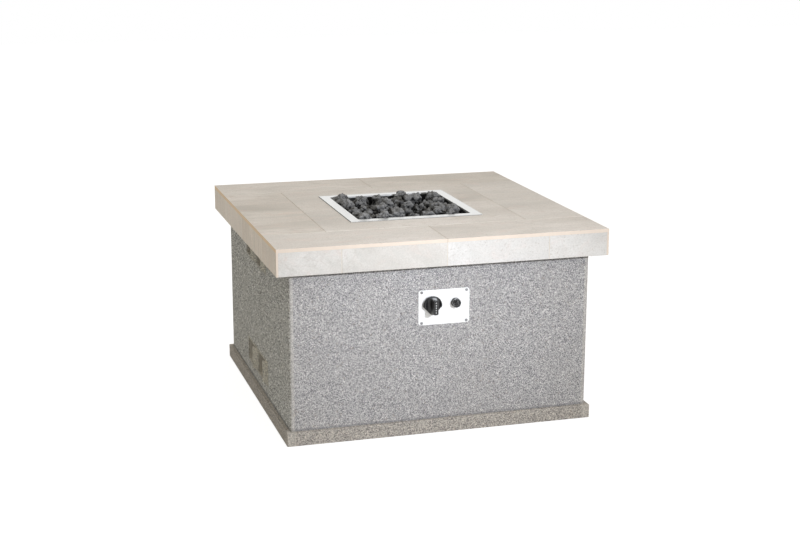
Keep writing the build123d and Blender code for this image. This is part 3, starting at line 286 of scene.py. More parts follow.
floor_corners = [
    (x * FLOOR_HALF, y * FLOOR_HALF, 0.0) for x, y in ((-1, -1), (1, -1), (1, 1), (-1, 1))
]
floor_mesh = bpy.data.meshes.new("floor")
floor_mesh.from_pydata(floor_corners, [], [(0, 1, 2, 3)])
floor_mesh.materials.append(paper.material)
floor = bpy.data.objects.new("floor", floor_mesh)
bpy.context.scene.collection.objects.link(floor)

world = bpy.data.worlds.new("room")
world.use_nodes = True
world.node_tree.nodes.clear()
bpy.context.scene.world = world
room = Sheet(world.node_tree)
direction = room.node("ShaderNodeTexCoord", {}, {}, "Generated")
steepness = abs(room.split(direction)[2])
sky = room.node("ShaderNodeMix", {"data_type": "RGBA"}, {0: steepness, 6: SKY_LOW, 7: SKY_HIGH}, 2)
fill = room.node("ShaderNodeBackground", {}, {"Color": sky, "Strength": 1.0})
white = room.node("ShaderNodeBackground", {}, {"Color": WHITE, "Strength": 1.0})
both = room.node("ShaderNodeMixShader", {}, {0: seen_directly(room), 1: fill, 2: white})
room.node("ShaderNodeOutputWorld", {}, {"Surface": both})

key = bpy.data.objects.new("softbox", bpy.data.lights.new("softbox", "AREA"))
key.data.shape = "SQUARE"
key.data.size = KEY_SIZE
key.data.spread = KEY_SPREAD
key.data.energy = KEY_WATTS
key.data.color = KEY_TINT
key.matrix_world = Matrix.Translation(KEY_PLACE) @ (
    (KEY_AIM - KEY_PLACE).to_track_quat("-Z", "Y").to_matrix().to_4x4()
)
key.visible_camera = False
bpy.context.scene.collection.objects.link(key)


# ---- Welded steel frame
# Four square posts with a ring of rails at the foot and one under the top, and two bearers
# beside the pan. Square tube, welded, then powder-coated satin black, with dust settled on it.
def tint(red, green, blue):
    """A colour given in screen values, as the linear values that a shader takes."""
    parts = [part / 255 for part in (red, green, blue)]
    return (*[p / 12.92 if p <= 0.04045 else ((p + 0.055) / 1.055) ** 2.4 for p in parts], 1.0)


def dress(material, *names):
    """Gives CAD nodes their material, through their own slots."""
    for name in names:
        piece = frame["nodes"][name]
        if not piece.material_slots:
            piece.data.materials.append(material)
        for slot in piece.material_slots:
            slot.material = material


powder = Finish("frame_powder_coat")
peel = powder.noise(0.0016)
dust = powder.faded(powder.noise(0.11, detail=4, rough=0.65), 0.5, 0.8)
frame_coat = powder.done(
    powder.mixed(dust * 0.35, tint(26, 26, 27), tint(70, 67, 62)),
    powder.spread(peel, 0.38, 0.52) + dust * 0.2,
    powder.bumps(peel, depth=0.00008),
)
dress(frame_coat, "corner_posts", "frame_rails", "pan_bearers")


# ---- Weld beads
# A row of overlapping drops of weld metal up the inner face of each rail, at both ends, where it
# meets a post. The drops are left rough under the powder coat.
class Recipe(Sheet):
    """A Geometry Nodes tree with named inputs, run once on a mesh."""

    def __init__(self, name, **inputs):
        super().__init__(bpy.data.node_groups.new(name, "GeometryNodeTree"))
        face = self.tree.interface
        face.new_socket("Geometry", in_out="INPUT", socket_type="NodeSocketGeometry")
        face.new_socket("Geometry", in_out="OUTPUT", socket_type="NodeSocketGeometry")
        for label, kind in inputs.items():
            face.new_socket(label, in_out="INPUT", socket_type=kind)
        self.group_input = self.tree.nodes.new("NodeGroupInput")

    def given(self, label):
        """One of the tree's own inputs."""
        return Number(self, self.group_input.outputs[label])

    def scaled(self, vector, amount):
        """A vector made longer or shorter by a number."""
        sockets = {0: vector, "Scale": amount}
        return self.node("ShaderNodeVectorMath", {"operation": "SCALE"}, sockets)

    def ends(self, geometry, material):
        """Makes the instances real, gives the result its material and closes the tree."""
        real = self.node("GeometryNodeRealizeInstances", {}, {"Geometry": geometry})
        sockets = {"Geometry": real, "Material": material}
        coated = self.node("GeometryNodeSetMaterial", {}, sockets)
        self.node("NodeGroupOutput", {}, {"Geometry": coated})

    def run(self, name, mesh, **values):
        """A plain object with the tree's result, its inputs set by their identifiers."""
        piece = bpy.data.objects.new(name, mesh)
        bpy.context.scene.collection.objects.link(piece)
        modifier = piece.modifiers.new("recipe", "NODES")
        modifier.node_group = self.tree
        for item in self.tree.interface.items_tree:
            if item.name in values:
                modifier[item.identifier] = values[item.name]
        bpy.context.view_layer.update()
        result = piece.evaluated_get(bpy.context.evaluated_depsgraph_get())
        finished = bpy.data.meshes.new_from_object(result)
        piece.modifiers.clear()
        piece.data = finished
        return piece


WELD_R = 0.0022
WELD_PITCH = 0.0035
WELD_SHORT = 0.002  # each row stops this far inside the corners of the tube
POST_FACE = 0.390  # from the middle to the inner face of a post
RAIL_SIDE = 0.038
rail_low, rail_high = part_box("frame_rails")
weld_points, weld_edges = [], []
for turns in range(4):
    spin = Matrix.Rotation(math.radians(90 * turns), 3, "Z")
    for side in (-1, 1):
        for under in (rail_low.z, rail_high.z - RAIL_SIDE):
            x, y = side * POST_FACE, rail_low.y + RAIL_SIDE
            low = under + WELD_SHORT
            high = low + RAIL_SIDE - 2 * WELD_SHORT
            first = len(weld_points)
            weld_points += [spin @ Vector((x, y, z)) for z in (low, high)]
            weld_edges.append((first, first + 1))
weld_mesh = bpy.data.meshes.new("weld_lines")
weld_mesh.from_pydata(weld_points, weld_edges, [])

bead = Recipe(
    "weld_recipe",
    Pitch="NodeSocketFloat",
    Radius="NodeSocketFloat",
    Coating="NodeSocketMaterial",
)
line = bead.node("GeometryNodeMeshToCurve", {}, {"Mesh": bead.given("Geometry")})
steps = {"Curve": line, "Length": bead.given("Pitch")}
dots = bead.node("GeometryNodeCurveToPoints", {"mode": "LENGTH"}, steps)
drop = bead.node("GeometryNodeMeshIcoSphere", {}, {"Radius": 1.0, "Subdivisions": 2})
sizes = bead.node("FunctionNodeRandomValue", {}, {2: 0.8, 3: 1.15, "Seed": 4}, 1)
drops = {"Points": dots, "Instance": drop, "Scale": sizes * bead.given("Radius")}
bead.ends(bead.node("GeometryNodeInstanceOnPoints", {}, drops), bead.given("Coating"))
welds = bead.run("weld_beads", weld_mesh, Pitch=WELD_PITCH, Radius=WELD_R, Coating=frame_coat)
welds.data.shade_smooth()
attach(welds, "table")

# ---- Floor glides and the other nylon pieces
# The glides are square moulded pads, each pushed up into the foot of a post. The door's handle,
# the catch, the igniter's body and nut and the cable tie are moulded in the same black nylon.
nylon = Finish("black_nylon")
grain = nylon.noise(0.0009, detail=3)
scuff = nylon.faded(nylon.noise(0.03, detail=5, rough=0.7), 0.55, 0.75)
black_nylon = nylon.done(
    nylon.mixed(scuff * 0.4, tint(30, 30, 31), tint(72, 71, 69)),
    nylon.spread(grain, 0.5, 0.66),
    nylon.bumps(grain, depth=0.00006),
)
dress(black_nylon, "floor_glides", "door_handle", "magnet_catch")
dress(black_nylon, "igniter_body", "igniter_nut", "lead_tie")

# ---- Rendered walls
# Four cement boards mitred at the corners and trowelled with an acrylic render full of dark and
# pale sand, a fine salt and pepper. The round corners are rubbed a little paler, and a line of
# painted shade darkens each wall where it meets the plinth.
SAND_STOPS = (0.16, 0.34, 0.50, 0.66, 0.86)
SAND_LEVELS = (-1.25, -0.45, 0.0, 0.22, 0.62)
COOL_DARKS = (1.02, 1.02, 0.95)
RENDER_BACK = 0.4462  # nearer to the middle than this, a wall is raw board
CORNER_STRIP = 0.4395
RUBBED_SIDE = 0.4345
RUBBED_FACE = 0.4440
FOOT_SHADE_START = 0.0445
FOOT_SHADE_END = 0.0500


def sand_render(name, base, warm, grain_size=0.0015, contrast=1.3, foot_shade=0.0):
    """Acrylic render on a raw cement board: dark to pale sand in a grey binder."""
    render = Finish(name)
    shade = render.cell_shade(grain_size)
    turned = render.stretched((1, 1, 1), (0.4, 0.7, 0.2))
    second = render.cell_shade(grain_size * 0.72, turned)
    stops = []
    for place, level in zip(SAND_STOPS, SAND_LEVELS):
        gains = [math.exp(level * contrast * lean) for lean in COOL_DARKS]
        sand_colour = [min(1.0, channel * gain) for channel, gain in zip(base, gains)]
        stops.append((place, (*sand_colour, 1.0)))
    sand = render.graded(shade * 0.62 + second * 0.38, *stops)
    stain = render.faded(render.noise(0.16, detail=4, rough=0.6), 0.35, 0.7)
    rust = render.faded(render.cell_shade(0.005), 0.96, 0.99)
    x, y, z = render.axes()
    # Painted shade: a dark band at the foot of the wall, where it meets the plinth.
    painted_foot_shade = render.faded(z, FOOT_SHADE_END, FOOT_SHADE_START) * foot_shade
    sand = render.mixed(painted_foot_shade, sand, tint(96, 99, 104))
    rubbed = (abs(x) > RUBBED_SIDE) * (abs(y) > RUBBED_FACE)
    sand = render.mixed(stain * 0.12, sand, warm)
    sand = render.mixed(rubbed * 0.3, sand, tint(212, 206, 196))
    sand = render.mixed(rust * 0.2, sand, tint(150, 128, 104))
    raw = (abs(x).larger(abs(y)) < RENDER_BACK) * (abs(x).smaller(abs(y)) < CORNER_STRIP)
    board_colour = render.mixed(stain, tint(222, 217, 206), tint(204, 198, 186))
    sand = render.mixed(raw, sand, board_colour)
    lumps = render.cells(grain_size * 1.25, feature="SMOOTH_F1")
    trowelled = render.bumps(render.noise(0.022, detail=3, rough=0.6), depth=0.0005)
    relief = render.bumps(lumps * 0.7 + shade * 0.3, depth=0.0004, under=trowelled)
    return render.done(sand, 0.92, relief, gloss=0.2)


front_render = sand_render(
    "sand_render_front", tint(169, 167, 168), tint(173, 167, 159), foot_shade=0.45
)
dress(front_render, "wall_panel_front", "wall_panel_back", "wall_panel_right")
side_render = sand_render(
    "sand_render_left",
    tint(180, 179, 174),
    tint(178, 173, 160),
    grain_size=0.0026,
    contrast=1.9,
    foot_shade=0.7,
)
dress(side_render, "wall_panel_left")

# ---- Plinth
# A cement strip round the foot, mitred at the corners and glued on over the walls. It has the
# same render, but warmer from splashes.
plinth_render = sand_render(
    "sand_render_plinth",
    tint(173, 167, 160),
    tint(154, 143, 130),
    grain_size=0.0021,
    contrast=0.95,
)
dress(plinth_render, "plinth_strips")

# ---- Vent louvres
# Pressed plates over the openings in the side walls, one scoop each. They are sprayed with a
# thin coat of the render.
louvre_paint = sand_render(
    "louvre_paint",
    tint(186, 182, 172),
    tint(176, 168, 150),
    grain_size=0.0022,
    contrast=1.1,
)
dress(louvre_paint, "vent_louvres")

# ---- Door frame and access door
# Folded sheet steel, powder-coated a matt grey close to the wall. The frame's flange is screwed
# over the edge of the opening, and the door shuts flush inside it.
door = Finish("door_powder_coat")
door_peel = door.noise(0.0018)
rubbed = door.faded(door.noise(0.07, detail=5, rough=0.7), 0.58, 0.8)
door_coat = door.done(
    door.mixed(rubbed * 0.3, tint(152, 151, 147), tint(176, 174, 168)),
    door.spread(door_peel, 0.42, 0.56),
    door.bumps(door_peel, depth=0.00010),
)
dress(door_coat, "door_frame", "access_door")

# ---- Hinge, strike, brackets and small steel
# Rolled and pressed strip, with the small screws that hold it and the valve. It is all bright
# zinc plated, with the cloudy look that plating has.
plated = Finish("bright_zinc")
cloud = plated.spread(plated.noise(0.006, detail=4, rough=0.7))
lengthwise = plated.stretched((1, 1, 0.05))
rolled = plated.noise(0.004, detail=3, rough=0.6, place=lengthwise)
zinc = plated.done(
    plated.mixed(cloud, tint(146, 148, 152), tint(172, 171, 164)),
    plated.spread(rolled, 0.32, 0.48),
    plated.bumps(rolled, depth=0.00003),
    metallic=1.0,
)
dress(zinc, "hinge_fixed_leaf", "hinge_door_leaf", "hinge_pin", "handle_screw", "catch_strike")
dress(zinc, "apron_brackets", "thrust_washer", "valve_screws")

# ---- Cement boards of the top
# Fibre-cement board cut into a square ring, with four mitred strips hung from its edge to carry
# the apron's tiles. It is left raw, grey with pale fibres.
board = Finish("fibre_cement")
fibre = board.noise(0.010, detail=4, rough=0.7, place=board.stretched((1, 0.25, 1)))
speck = board.cell_shade(0.0022)
matted = board.faded(fibre, 0.35, 0.65)
board_face = board.mixed(matted, tint(150, 148, 142), tint(176, 173, 166))
cement = board.done(
    board.mixed(speck * 0.2, board_face, tint(122, 119, 113)),
    0.93,
    board.bumps(fibre, depth=0.0003),
    gloss=0.2,
)
dress(cement, "top_board", "apron_boards")


# ---- Burner pan and burner
# A folded and welded stainless tray that drops into the opening and hangs by its flange, with an
# H of stainless tube on its floor. Brushed sheet, blackened inside below the flange with soot and
# painted shade, and with a painted shadow line round the flange's rim.
def brushed_steel(name, pale, deep, along, heat=0.0, soot_and_shade=None):
    """Stainless with fine brush lines along one direction, and soot and painted shade where given.
    """
    steel = Finish(name)
    lines = steel.noise(0.0012, detail=4, rough=0.65, place=steel.stretched(along))
    bloom = steel.noise(0.09, detail=3, rough=0.6)
    face = steel.mixed(lines, deep, pale)
    if heat:
        scorched = steel.faded(bloom, 0.4, 0.7) * heat
        face = steel.mixed(scorched, face, tint(150, 126, 96))
    shine, dull = 1.0, steel.faded(lines + bloom * 0.3, 0.4, 0.9, 0.26, 0.44)
    if soot_and_shade:
        soot_and_shade_share = soot_and_shade(steel)
        face = steel.mixed(soot_and_shade_share, face, tint(15, 15, 15))
        shine, dull = 1 - soot_and_shade_share * 0.8, dull + soot_and_shade_share * 0.4
    return steel.done(face, dull, steel.bumps(lines, depth=0.00003), metallic=shine)


PAN_WALL = 0.1765  # from the middle to the outer face of the pan's wall
SOOT_SHADE_START = 0.5815
SOOT_SHADE_FULL = 0.5785
FLANGE_RIM = 0.2046
FLANGE_RIM_LEFT = 0.2036


def pan_soot_and_shadow(steel):
    """Soot and painted shade on the pan's inside, and a painted shadow line round the flange's
    rim, wider on the left.
    """
    x, y, z = steel.axes()
    reach = abs(x).larger(abs(y))
    uneven = z + steel.noise(0.02, detail=3) * 0.004
    # Soot and painted shade: the pan's inside goes black just below the flange.
    inside = (reach < PAN_WALL) * steel.faded(uneven, SOOT_SHADE_START, SOOT_SHADE_FULL)
    # Painted shadow: a dark line round the flange's rim, and a wider one along its left edge.
    rim_shadow = (reach > FLANGE_RIM) * 0.7
    return inside.larger(rim_shadow).larger((x < -FLANGE_RIM_LEFT) * 0.8)


pan_steel = brushed_steel(
    "stainless_pan", tint(242, 242, 240), tint(222, 222, 220), (0.02, 1, 1), soot_and_shade=pan_soot_and_shadow
)
dress(pan_steel, "burner_pan")
burner_steel = brushed_steel(
    "stainless_burner", tint(206, 200, 190), tint(168, 160, 148), (1, 0.05, 1), heat=0.6
)
dress(burner_steel, "h_burner")

# ---- Brass and cast parts of the gas train
# Machined brass fittings, a die-cast mixer and valve, and a soft aluminium tube between them.
# They screw together under the pan and behind the control plate, and get no coating.
turned_brass = Finish("machined_brass")
rings = turned_brass.noise(0.0011, place=turned_brass.stretched((0.15, 0.15, 1)))
tarnish = turned_brass.noise(0.012, detail=4, rough=0.65)
tarnish = turned_brass.faded(tarnish, 0.45, 0.75)
brass = turned_brass.done(
    turned_brass.mixed(tarnish * 0.6, tint(214, 184, 116), tint(150, 118, 66)),
    turned_brass.spread(rings, 0.22, 0.38) + tarnish * 0.15,
    turned_brass.bumps(rings, depth=0.00003),
    metallic=1.0,
)
dress(brass, "burner_locknuts", "gas_orifice", "mixer_elbow", "flare_nuts")
dress(brass, "gas_inlet_fitting", "valve_stem")

casting = Finish("die_casting")
skin = casting.noise(0.0016, detail=4, rough=0.65)
flow = casting.faded(casting.noise(0.02, detail=3, rough=0.6), 0.35, 0.65)
cast = casting.done(
    casting.mixed(flow, tint(176, 177, 178), tint(198, 198, 197)),
    casting.spread(skin, 0.42, 0.6),
    casting.bumps(skin, depth=0.00012),
    metallic=1.0,
)
dress(cast, "air_mixer", "valve_cover", "valve_body")

drawn = Finish("drawn_tube")
draw_lines = drawn.noise(0.0010, detail=3, rough=0.6, place=drawn.stretched((1, 0.04, 1)))
handled = drawn.faded(drawn.noise(0.03, detail=4, rough=0.6), 0.4, 0.7)
tube = drawn.done(
    drawn.mixed(handled, tint(206, 206, 206), tint(184, 184, 185)),
    drawn.spread(draw_lines, 0.28, 0.44),
    drawn.bumps(draw_lines, depth=0.00003),
    metallic=1.0,
)
dress(tube, "gas_tube")

# ---- Springs
# Hard-drawn wire, bright, with a little oil left on it.
wire = Finish("spring_wire")
oil = wire.noise(0.002, detail=3, rough=0.6)
spring_steel = wire.done(
    wire.mixed(oil, tint(150, 151, 154), tint(186, 186, 186)),
    wire.spread(oil, 0.2, 0.4),
    wire.bumps(oil, depth=0.00002),
    metallic=1.0,
)
for node, body, joint in (
    ("valve_spring", "table", "knob_push"),
    ("contact_spring", "igniter_cap", "igniter_press"),
):
    coil = bpy.data.objects.new(f"{node}_wire", frame["nodes"][node].data.copy())
    bpy.context.scene.collection.objects.link(coil)
    coil.data.materials.clear()
    coil.data.materials.append(spring_steel)
    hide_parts(node)
    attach(coil, body)
    outer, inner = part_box(node)
    travel = next(max(each["range_m"]) for each in frame["joints"] if each["name"] == joint)
    1 - travel / (inner.y - outer.y)
    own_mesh(coil)

# ---- Control plate and panel screws
# A stainless plate with rounded corners, brushed across and set flat on the wall. Four slotted
# pan-head screws hold it.
sheet = Finish("control_plate_steel")
brush = sheet.noise(0.0009, detail=4, rough=0.65, place=sheet.stretched((0.02, 1, 1)))
plate_steel = sheet.done(
    sheet.mixed(brush, tint(238, 238, 238), tint(252, 252, 251)),
    sheet.spread(brush, 0.36, 0.48),
    sheet.bumps(brush, depth=0.00002),
    metallic=0.35,
)
dress(plate_steel, "control_plate")

head = Finish("screw_steel")
tool_marks = head.noise(0.0008, detail=3, rough=0.6)
screw_steel = head.done(
    head.mixed(tool_marks, tint(106, 106, 108), tint(160, 160, 160)),
    head.spread(tool_marks, 0.22, 0.4),
    head.bumps(tool_marks, depth=0.00003),
    metallic=1.0,
)
dress(screw_steel, "panel_screws")

# ---- Igniter battery
# One AA cell pushed into the igniter from the front, under the cap. Its jacket is plain and dark,
# with a copper-coloured band at the positive end.
BAND_BACK = -0.392

jacket = Finish("battery_jacket")
paint = jacket.mixed(jacket.axes()[1] > BAND_BACK, tint(190, 150, 70), tint(52, 54, 60))
battery = jacket.done(
    paint, jacket.spread(jacket.noise(0.004, detail=3), 0.28, 0.42), metallic=0.5
)
dress(battery, "igniter_battery")

# ---- Control knob, igniter cap and button
# Black phenolic mouldings: the knob is pressed on its stem and the cap screwed on the igniter.
# The knob has a soft sheen with handling marks, and the cap and button are glossier, with pale
# swirls of painted highlight in their colour.
phenolic = Finish("black_phenolic")
fingered = phenolic.faded(phenolic.noise(0.009, detail=5, rough=0.7), 0.45, 0.8)
fine = phenolic.noise(0.0007)
knob_black = phenolic.done(
    phenolic.mixed(fingered * 0.5, tint(34, 34, 35), tint(62, 62, 63)),
    phenolic.spread(fine, 0.24, 0.32) + fingered * 0.12,
    phenolic.bumps(fine, depth=0.00002),
)
dress(knob_black, "control_knob")

glossy = Finish("glossy_phenolic")
swirl_and_glints = glossy.noise(0.0046)
# Painted highlight: pale swirls in the colour stand for the glints on the cap and button.
cap_black = glossy.done(
    glossy.mixed(glossy.faded(swirl_and_glints, 0.54, 0.64), tint(18, 18, 19), tint(118, 118, 119)),
    glossy.spread(swirl_and_glints, 0.10, 0.20),
    glossy.bumps(swirl_and_glints, depth=0.0010),
)
dress(cap_black, "igniter_cap", "igniter_button")

ink = Finish("white_inlay")
wear = ink.noise(0.0012, detail=3)
inlaid = ink.mixed(wear, tint(222, 222, 220), tint(250, 250, 250))
white_inlay = ink.done(inlaid, 0.5, ink.bumps(wear, depth=0.00002))
dress(white_inlay, "knob_dots")

# ---- Spark electrode and its lead
# A fired alumina sleeve in a hole in the pan floor, a heat-resisting rod through it, bent towards
# the burner, and a silicone-sleeved lead from the igniter tied to the gas tube.
SLEEVE_CLEAN, SLEEVE_SOOTY = 0.508, 0.524
ROD_COOL, ROD_HOT = 0.535, 0.577

fired = Finish("fired_alumina")
pores = fired.cell_shade(0.0007)
smoked = fired.faded(fired.axes()[2], SLEEVE_CLEAN, SLEEVE_SOOTY)
ceramic = fired.mixed(pores * 0.2, tint(238, 236, 228), tint(214, 210, 200))
alumina = fired.done(
    fired.mixed(smoked * 0.35, ceramic, tint(90, 84, 76)),
    fired.faded(pores, 0.0, 1.0, 0.22, 0.34),
    fired.bumps(pores, depth=0.00001),
)
dress(alumina, "electrode_insulator")

rod = Finish("spark_rod")
oxide = rod.graded(
    rod.faded(rod.axes()[2], ROD_COOL, ROD_HOT),
    (0.0, tint(226, 224, 220)),
    (0.45, tint(232, 226, 212)),
    (1.0, tint(205, 196, 186)),
)
spark_steel = rod.done(oxide, rod.spread(rod.noise(0.001, detail=3), 0.2, 0.34), metallic=1.0)
dress(spark_steel, "electrode_rod")

sleeve = Finish("silicone_sleeve")
braid = sleeve.noise(0.0012)
grime = sleeve.faded(sleeve.noise(0.02, detail=3), 0.4, 0.7)
silicone = sleeve.done(
    sleeve.mixed(grime, tint(214, 210, 203), tint(190, 185, 177)),
    sleeve.spread(braid, 0.5, 0.64),
    sleeve.bumps(braid, depth=0.00004),
)
dress(silicone, "ignition_lead")

# ---- Porcelain tiles
# Tiles with a soft stone figure, each cut from a different part of it. The top's tiles have their
# cut edges showing all round, in the pinkish body, and the apron's tiles stand under them.
MODULE = 0.305
EDGE = 0.4886
NO_EDGE = 2.0  # further out than any tile, so no cut edge shows


def porcelain(name, which_tile, cut_edge, wash, pale=0.0, figure=(0.55, 1.3, 1.0)):
    """Matt glazed tile. which_tile numbers the tiles, and cut_edge is 1 where the body shows."""
    tile = Finish(name)
    number = which_tile(tile)
    # Each tile has a tone of its own, and its own slice of the stone figure.
    tone = (number * 0.81 + 0.13) % 1.0
    vein_place = tile.stretched(figure, (0, 0, 0.45))
    cloud = tile.noise(0.20, 5, 0.55, vein_place, warp=0.7, fourth=number * 3.7)
    drift = tile.noise(0.075, 7, 0.72, vein_place, warp=1.4, fourth=number * 5.1 + 9)
    veins = tile.noise(0.15, 6, 0.6, vein_place, warp=1.8, fourth=number * 2.3 + 4)
    glaze = tile.graded(
        cloud,
        (0.34, tint(200, 193, 182)),
        (0.45, tint(220, 213, 203)),
        (0.55, tint(231, 225, 216)),
        (0.66, tint(244, 238, 231)),
    )
    green = tile.faded(drift, 0.50, 0.68)
    glaze = tile.mixed(green * 0.65, glaze, tint(204, 201, 191))
    pink = tile.faded(drift, 0.46, 0.32)
    glaze = tile.mixed(pink * 0.6, glaze, tint(236, 216, 203))
    thin = tile.faded(abs(veins - 0.5), 0.0, 0.022, 1.0, 0.0) * tile.faded(cloud, 0.4, 0.6)
    glaze = tile.mixed(thin * 0.42, glaze, tint(196, 182, 169))
    glaze = tile.mixed(tone * 0.45, glaze, tint(249, 247, 244))
    sugar = tile.noise(0.0040, detail=3, rough=0.7)
    sugared = tile.graded(sugar, (0.34, tint(222, 220, 216)), (0.62, WHITE))
    glaze = tile.mixed(0.55, glaze, sugared, "MULTIPLY")
    glaze = tile.mixed(pale, glaze, tint(251, 250, 248))
    specks = tile.faded(tile.cell_shade(0.0034), 0.94, 0.97) * (tone > 0.25)
    glaze = tile.mixed(specks * 0.26, glaze, tint(172, 160, 146))
    glaze = tile.mixed(1.0, glaze, wash, "MULTIPLY")
    # Painted shade: the body on the left cut edge, the side away from the light, is browner and
    # darker.
    shaded_left_edge = tile.axes()[0] < -EDGE
    body = tile.mixed(tile.noise(0.02, detail=3), tint(229, 214, 199), tint(219, 204, 189))
    body = tile.mixed(shaded_left_edge, body, tint(228, 200, 162))
    surface = tile.mixed(cut_edge(tile), glaze, body)
    skin = tile.noise(0.004, detail=3, rough=0.6)
    relief = tile.bumps(tile.noise(0.05, detail=4, rough=0.6), depth=0.0005)
    relief = tile.bumps(skin, depth=0.00012, under=relief)
    return tile.done(surface, tile.spread(skin, 0.5, 0.62), relief)


def top_tile_number(tile):
    """A number of its own for each of the eight tiles of the top."""
    x, y, _ = tile.axes()
    end_row = abs(y) > MODULE
    column = (abs(x) > MODULE) * (1 - end_row)
    inner = 1 - end_row - column
    right, back = x > 0, y > 0
    return end_row * (1 + right + back * 2) + column * (5 + right) + inner * (7 + back)


def top_cut_edge(tile):
    """1 on the outer edges of the top."""
    x, y, _ = tile.axes()
    return abs(x).larger(abs(y)) > EDGE


top_glaze = porcelain("porcelain_top", top_tile_number, top_cut_edge, tint(249, 246, 245))
dress(top_glaze, "top_border_tiles", "top_inner_tiles")

# The aprons on the left and right close the corners, so the body shows at their ends.
ALONG_X, ALONG_Y = 0, 1
for side, axis, first_number in (
    ("front", ALONG_X, 33),
    ("back", ALONG_X, 28),
    ("left", ALONG_Y, 43),
    ("right", ALONG_Y, 53),
):
    # Painted light and painted shade: the aprons facing front and back get a paler, cooler glaze,
    # as lit faces, and those facing left and right a warmer one, as faces in shade.
    apron_glaze = porcelain(
        f"porcelain_apron_{side}",
        lambda tile: tile.axes()[axis] // MODULE + first_number,
        lambda tile: abs(tile.axes()[axis]) > (EDGE if axis == ALONG_Y else NO_EDGE),
        tint(251, 243, 235) if axis == ALONG_Y else tint(235, 236, 238),
        pale=0.0 if axis == ALONG_Y else 0.16,
        figure=(1.3, 1.3, 0.5) if axis == ALONG_Y else (0.9, 1.3, 1.1),
    )
    dress(apron_glaze, f"apron_tiles_{side}")

# ---- Grout
# Fine sanded grout, pressed into the joints and struck half a millimetre below the tiles. It is
# browned by use between the top's tiles and paler between the apron's.
TOP_TILES_UNDER = 0.5705

grouting = Finish("sanded_grout")
sanded = grouting.noise(0.0015, detail=3, rough=0.6)
browned = grouting.faded(grouting.noise(0.05, detail=3, rough=0.6), 0.35, 0.7)
smoky = grouting.mixed(browned, tint(196, 184, 169), tint(176, 163, 147))
in_apron = grouting.axes()[2] < TOP_TILES_UNDER
grout = grouting.done(
    grouting.mixed(in_apron, smoky, tint(214, 204, 190)),
    0.92,
    grouting.bumps(sanded, depth=0.0002),
    gloss=0.2,
)
dress(grout, "tile_grout")

# ---- Lava rock
# Broken lumps of porous basalt, tumbled and poured into the pan until they stand proud of it.
# Each is worked up from its own solid: the arrises are worn, and the face gets knobs and pores.
PAN_INSIDE = 0.1742
ROCK_SWELL = 0.0024
ROCK_DETAIL = 3
ARRIS_CREASE = 0.62
SAME_POINT = 1e-5
BED_TOP, BED_DARK = 0.588, 0.556  # between these heights the light fails inside the bed
CREVICE = 0.028  # how wide a gap between rocks still looks dark
OWN_PLACE = (31.0, 17.0, 23.0)  # sets each rock's patterns well apart from the next one's

# The stone's colour carries painted light and shade: it is lighter on faces that look up and on
# what stands out, and darker in hollows, pores and crevices and low in the bed.
stone = Finish("porous_basalt")
pore = stone.cells(0.0050)
small_pore = stone.cells(0.0022)
patch = stone.noise(0.016, detail=4, rough=0.65)
rock_number = stone.node("ShaderNodeAttribute", {"attribute_name": "rock"}, {}, "Fac")
worn = stone.node("ShaderNodeAttribute", {"attribute_name": "worn"}, {}, "Fac")
# Painted light: faces that look up are made lighter.
facing = stone.node("ShaderNodeNewGeometry", {}, {}, "Normal")
painted_top_light = stone.faded(stone.split(facing)[2], -0.25, 0.75)
share = stone.spread(patch) * 0.25 + worn * 0.35 + painted_top_light * 0.4
ground = stone.mixed(share, tint(26, 26, 27), tint(164, 164, 165))
ground = stone.mixed(rock_number * 0.2, ground, tint(92, 92, 93))
dusty = stone.faded(stone.noise(0.0026, detail=3, rough=0.6), 0.55, 0.75)
ground = stone.mixed(dusty * 0.3, ground, tint(146, 146, 145))
# Painted shade: the middles of the pores are darkened.
pore_shade = stone.faded(pore, 0.34, 0.14) * stone.faded(patch, 0.35, 0.55)
ground = stone.mixed(pore_shade * 0.75, ground, tint(26, 26, 27))
buried = stone.faded(stone.axes()[2], BED_TOP, BED_DARK)
ground = stone.mixed(buried * 0.75, ground, tint(12, 12, 12))
# Painted shade: crevices between and within the rocks are darkened nearly to black.
open_air = stone.node(
    "ShaderNodeAmbientOcclusion", {"samples": 8}, {"Distance": CREVICE}, "AO"
)
ground = stone.mixed(stone.faded(open_air, 0.66, 0.34) * 0.92, ground, tint(6, 6, 6))
relief = stone.bumps(stone.faded(pore, 0.1, 0.4), depth=0.0016)
finer = stone.faded(small_pore, 0.1, 0.45) + patch
relief = stone.bumps(finer, depth=0.0007, under=relief)
basalt = stone.done(ground, 0.95, relief, gloss=0.15)

tumble = Recipe(
    "rock_recipe",
    Detail="NodeSocketInt",
    First="NodeSocketInt",
    Last="NodeSocketInt",
    Swell="NodeSocketFloat",
    Low="NodeSocketVector",
    High="NodeSocketVector",
    Stone="NodeSocketMaterial",
)
position = tumble.node("GeometryNodeInputPosition", {}, {})
outwards = tumble.node("GeometryNodeInputNormal", {}, {})
loose = {"Geometry": tumble.given("Geometry"), "Distance": SAME_POINT}
welded = tumble.node("GeometryNodeMergeByDistance", {}, loose)
island = tumble.node("GeometryNodeInputMeshIsland", {}, {}, "Island Index")
wanted = (island > tumble.given("First") - 0.5) * (island < tumble.given("Last") + 0.5)
chosen = {"Geometry": welded, "Selection": wanted}
lumps = tumble.node("GeometryNodeSeparateGeometry", {"domain": "FACE"}, chosen)
draw = {2: 0.0, 3: 1.0, "ID": island, "Seed": 5}
any_number = tumble.node("FunctionNodeRandomValue", {}, draw, 1)
ON_POINTS = {"data_type": "FLOAT", "domain": "POINT"}
stored = {"Geometry": lumps, "Name": "rock", "Value": any_number}
lumps = tumble.node("GeometryNodeStoreNamedAttribute", ON_POINTS, stored)
finely = {"Mesh": lumps, "Level": tumble.given("Detail"), "Edge Crease": ARRIS_CREASE}
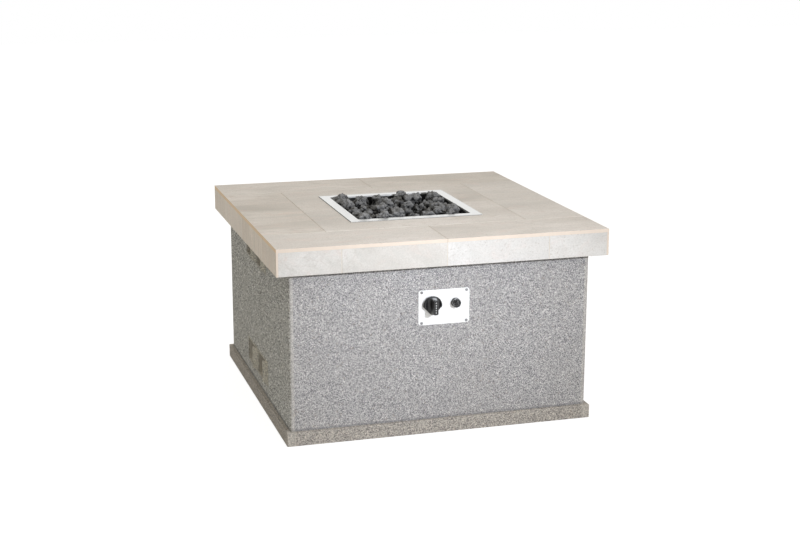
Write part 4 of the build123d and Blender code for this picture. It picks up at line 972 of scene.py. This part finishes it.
lumps = tumble.node("GeometryNodeSubdivisionSurface", {}, finely)
which = tumble.node(
    "GeometryNodeInputNamedAttribute", {"data_type": "FLOAT"}, {"Name": "rock"}
)
sample = tumble.vector("ADD", position, tumble.scaled(OWN_PLACE, which))


def rock_noise(size, detail, rough=0.5):
    """Smooth noise from 0 to 1 over each rock."""
    sockets = {"Vector": sample, "Scale": 1 / size, "Detail": detail, "Roughness": rough}
    return tumble.node("ShaderNodeTexNoise", {}, sockets, "Fac")


def rock_cells(size):
    """How far a point is from the middle of its cell, in cells."""
    sockets = {"Vector": sample, "Scale": 1 / size}
    return tumble.node("ShaderNodeTexVoronoi", {}, sockets, "Distance")


# Each kind of unevenness is a pattern, from the level of it that stays put, times a height in
# metres. What stands out is painted pale as wear, and the hollows dark as painted shade, through a
# number from 0 in the hollows to 1.
hollows = (rock_noise(0.030, 2.0) - 0.48) * 0.034
knobs = (0.44 - rock_cells(0.0145)) * 0.010
warts = (0.42 - rock_cells(0.0064)) * 0.0034
roughness = (rock_noise(0.005, 3.0, 0.65) - 0.5) * 0.0034
cracks = (abs(rock_noise(0.020, 1.0) - 0.5).smaller(0.06) - 0.06) * 0.055
pits = (0.32 - rock_cells(0.0085)).larger(0.0) * -0.012
growth = hollows + knobs + warts + roughness + cracks + pits + tumble.given("Swell")
standing = ((growth + 0.007) * 75.0).larger(0.0).smaller(1.0)
stored = {"Geometry": lumps, "Name": "worn", "Value": standing}
lumps = tumble.node("GeometryNodeStoreNamedAttribute", ON_POINTS, stored)
grown = {"Geometry": lumps, "Offset": tumble.scaled(outwards, growth)}
rocks = tumble.node("GeometryNodeSetPosition", {}, grown)
raised = tumble.vector("MAXIMUM", position, tumble.given("Low"))
inside_pan = tumble.vector("MINIMUM", raised, tumble.given("High"))
held = {"Geometry": rocks, "Position": inside_pan}
tumble.ends(tumble.node("GeometryNodeSetPosition", {}, held), tumble.given("Stone"))

# The lumps are numbered, and each piece takes a run of them, so that neither gets too heavy.
bed_low, bed_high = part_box("lava_rocks")
for name, first, last in (("lava_rocks_one", 0, 43), ("lava_rocks_two", 44, 200)):
    bed = tumble.run(
        name,
        frame["nodes"]["lava_rocks"].data.copy(),
        Detail=ROCK_DETAIL,
        First=first,
        Last=last,
        Swell=ROCK_SWELL,
        Low=(-PAN_INSIDE, -PAN_INSIDE, bed_low.z),
        High=(PAN_INSIDE, PAN_INSIDE, bed_high.z),
        Stone=basalt,
    )
    bed.data.shade_smooth()
    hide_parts("lava_rocks")
    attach(bed, "table")
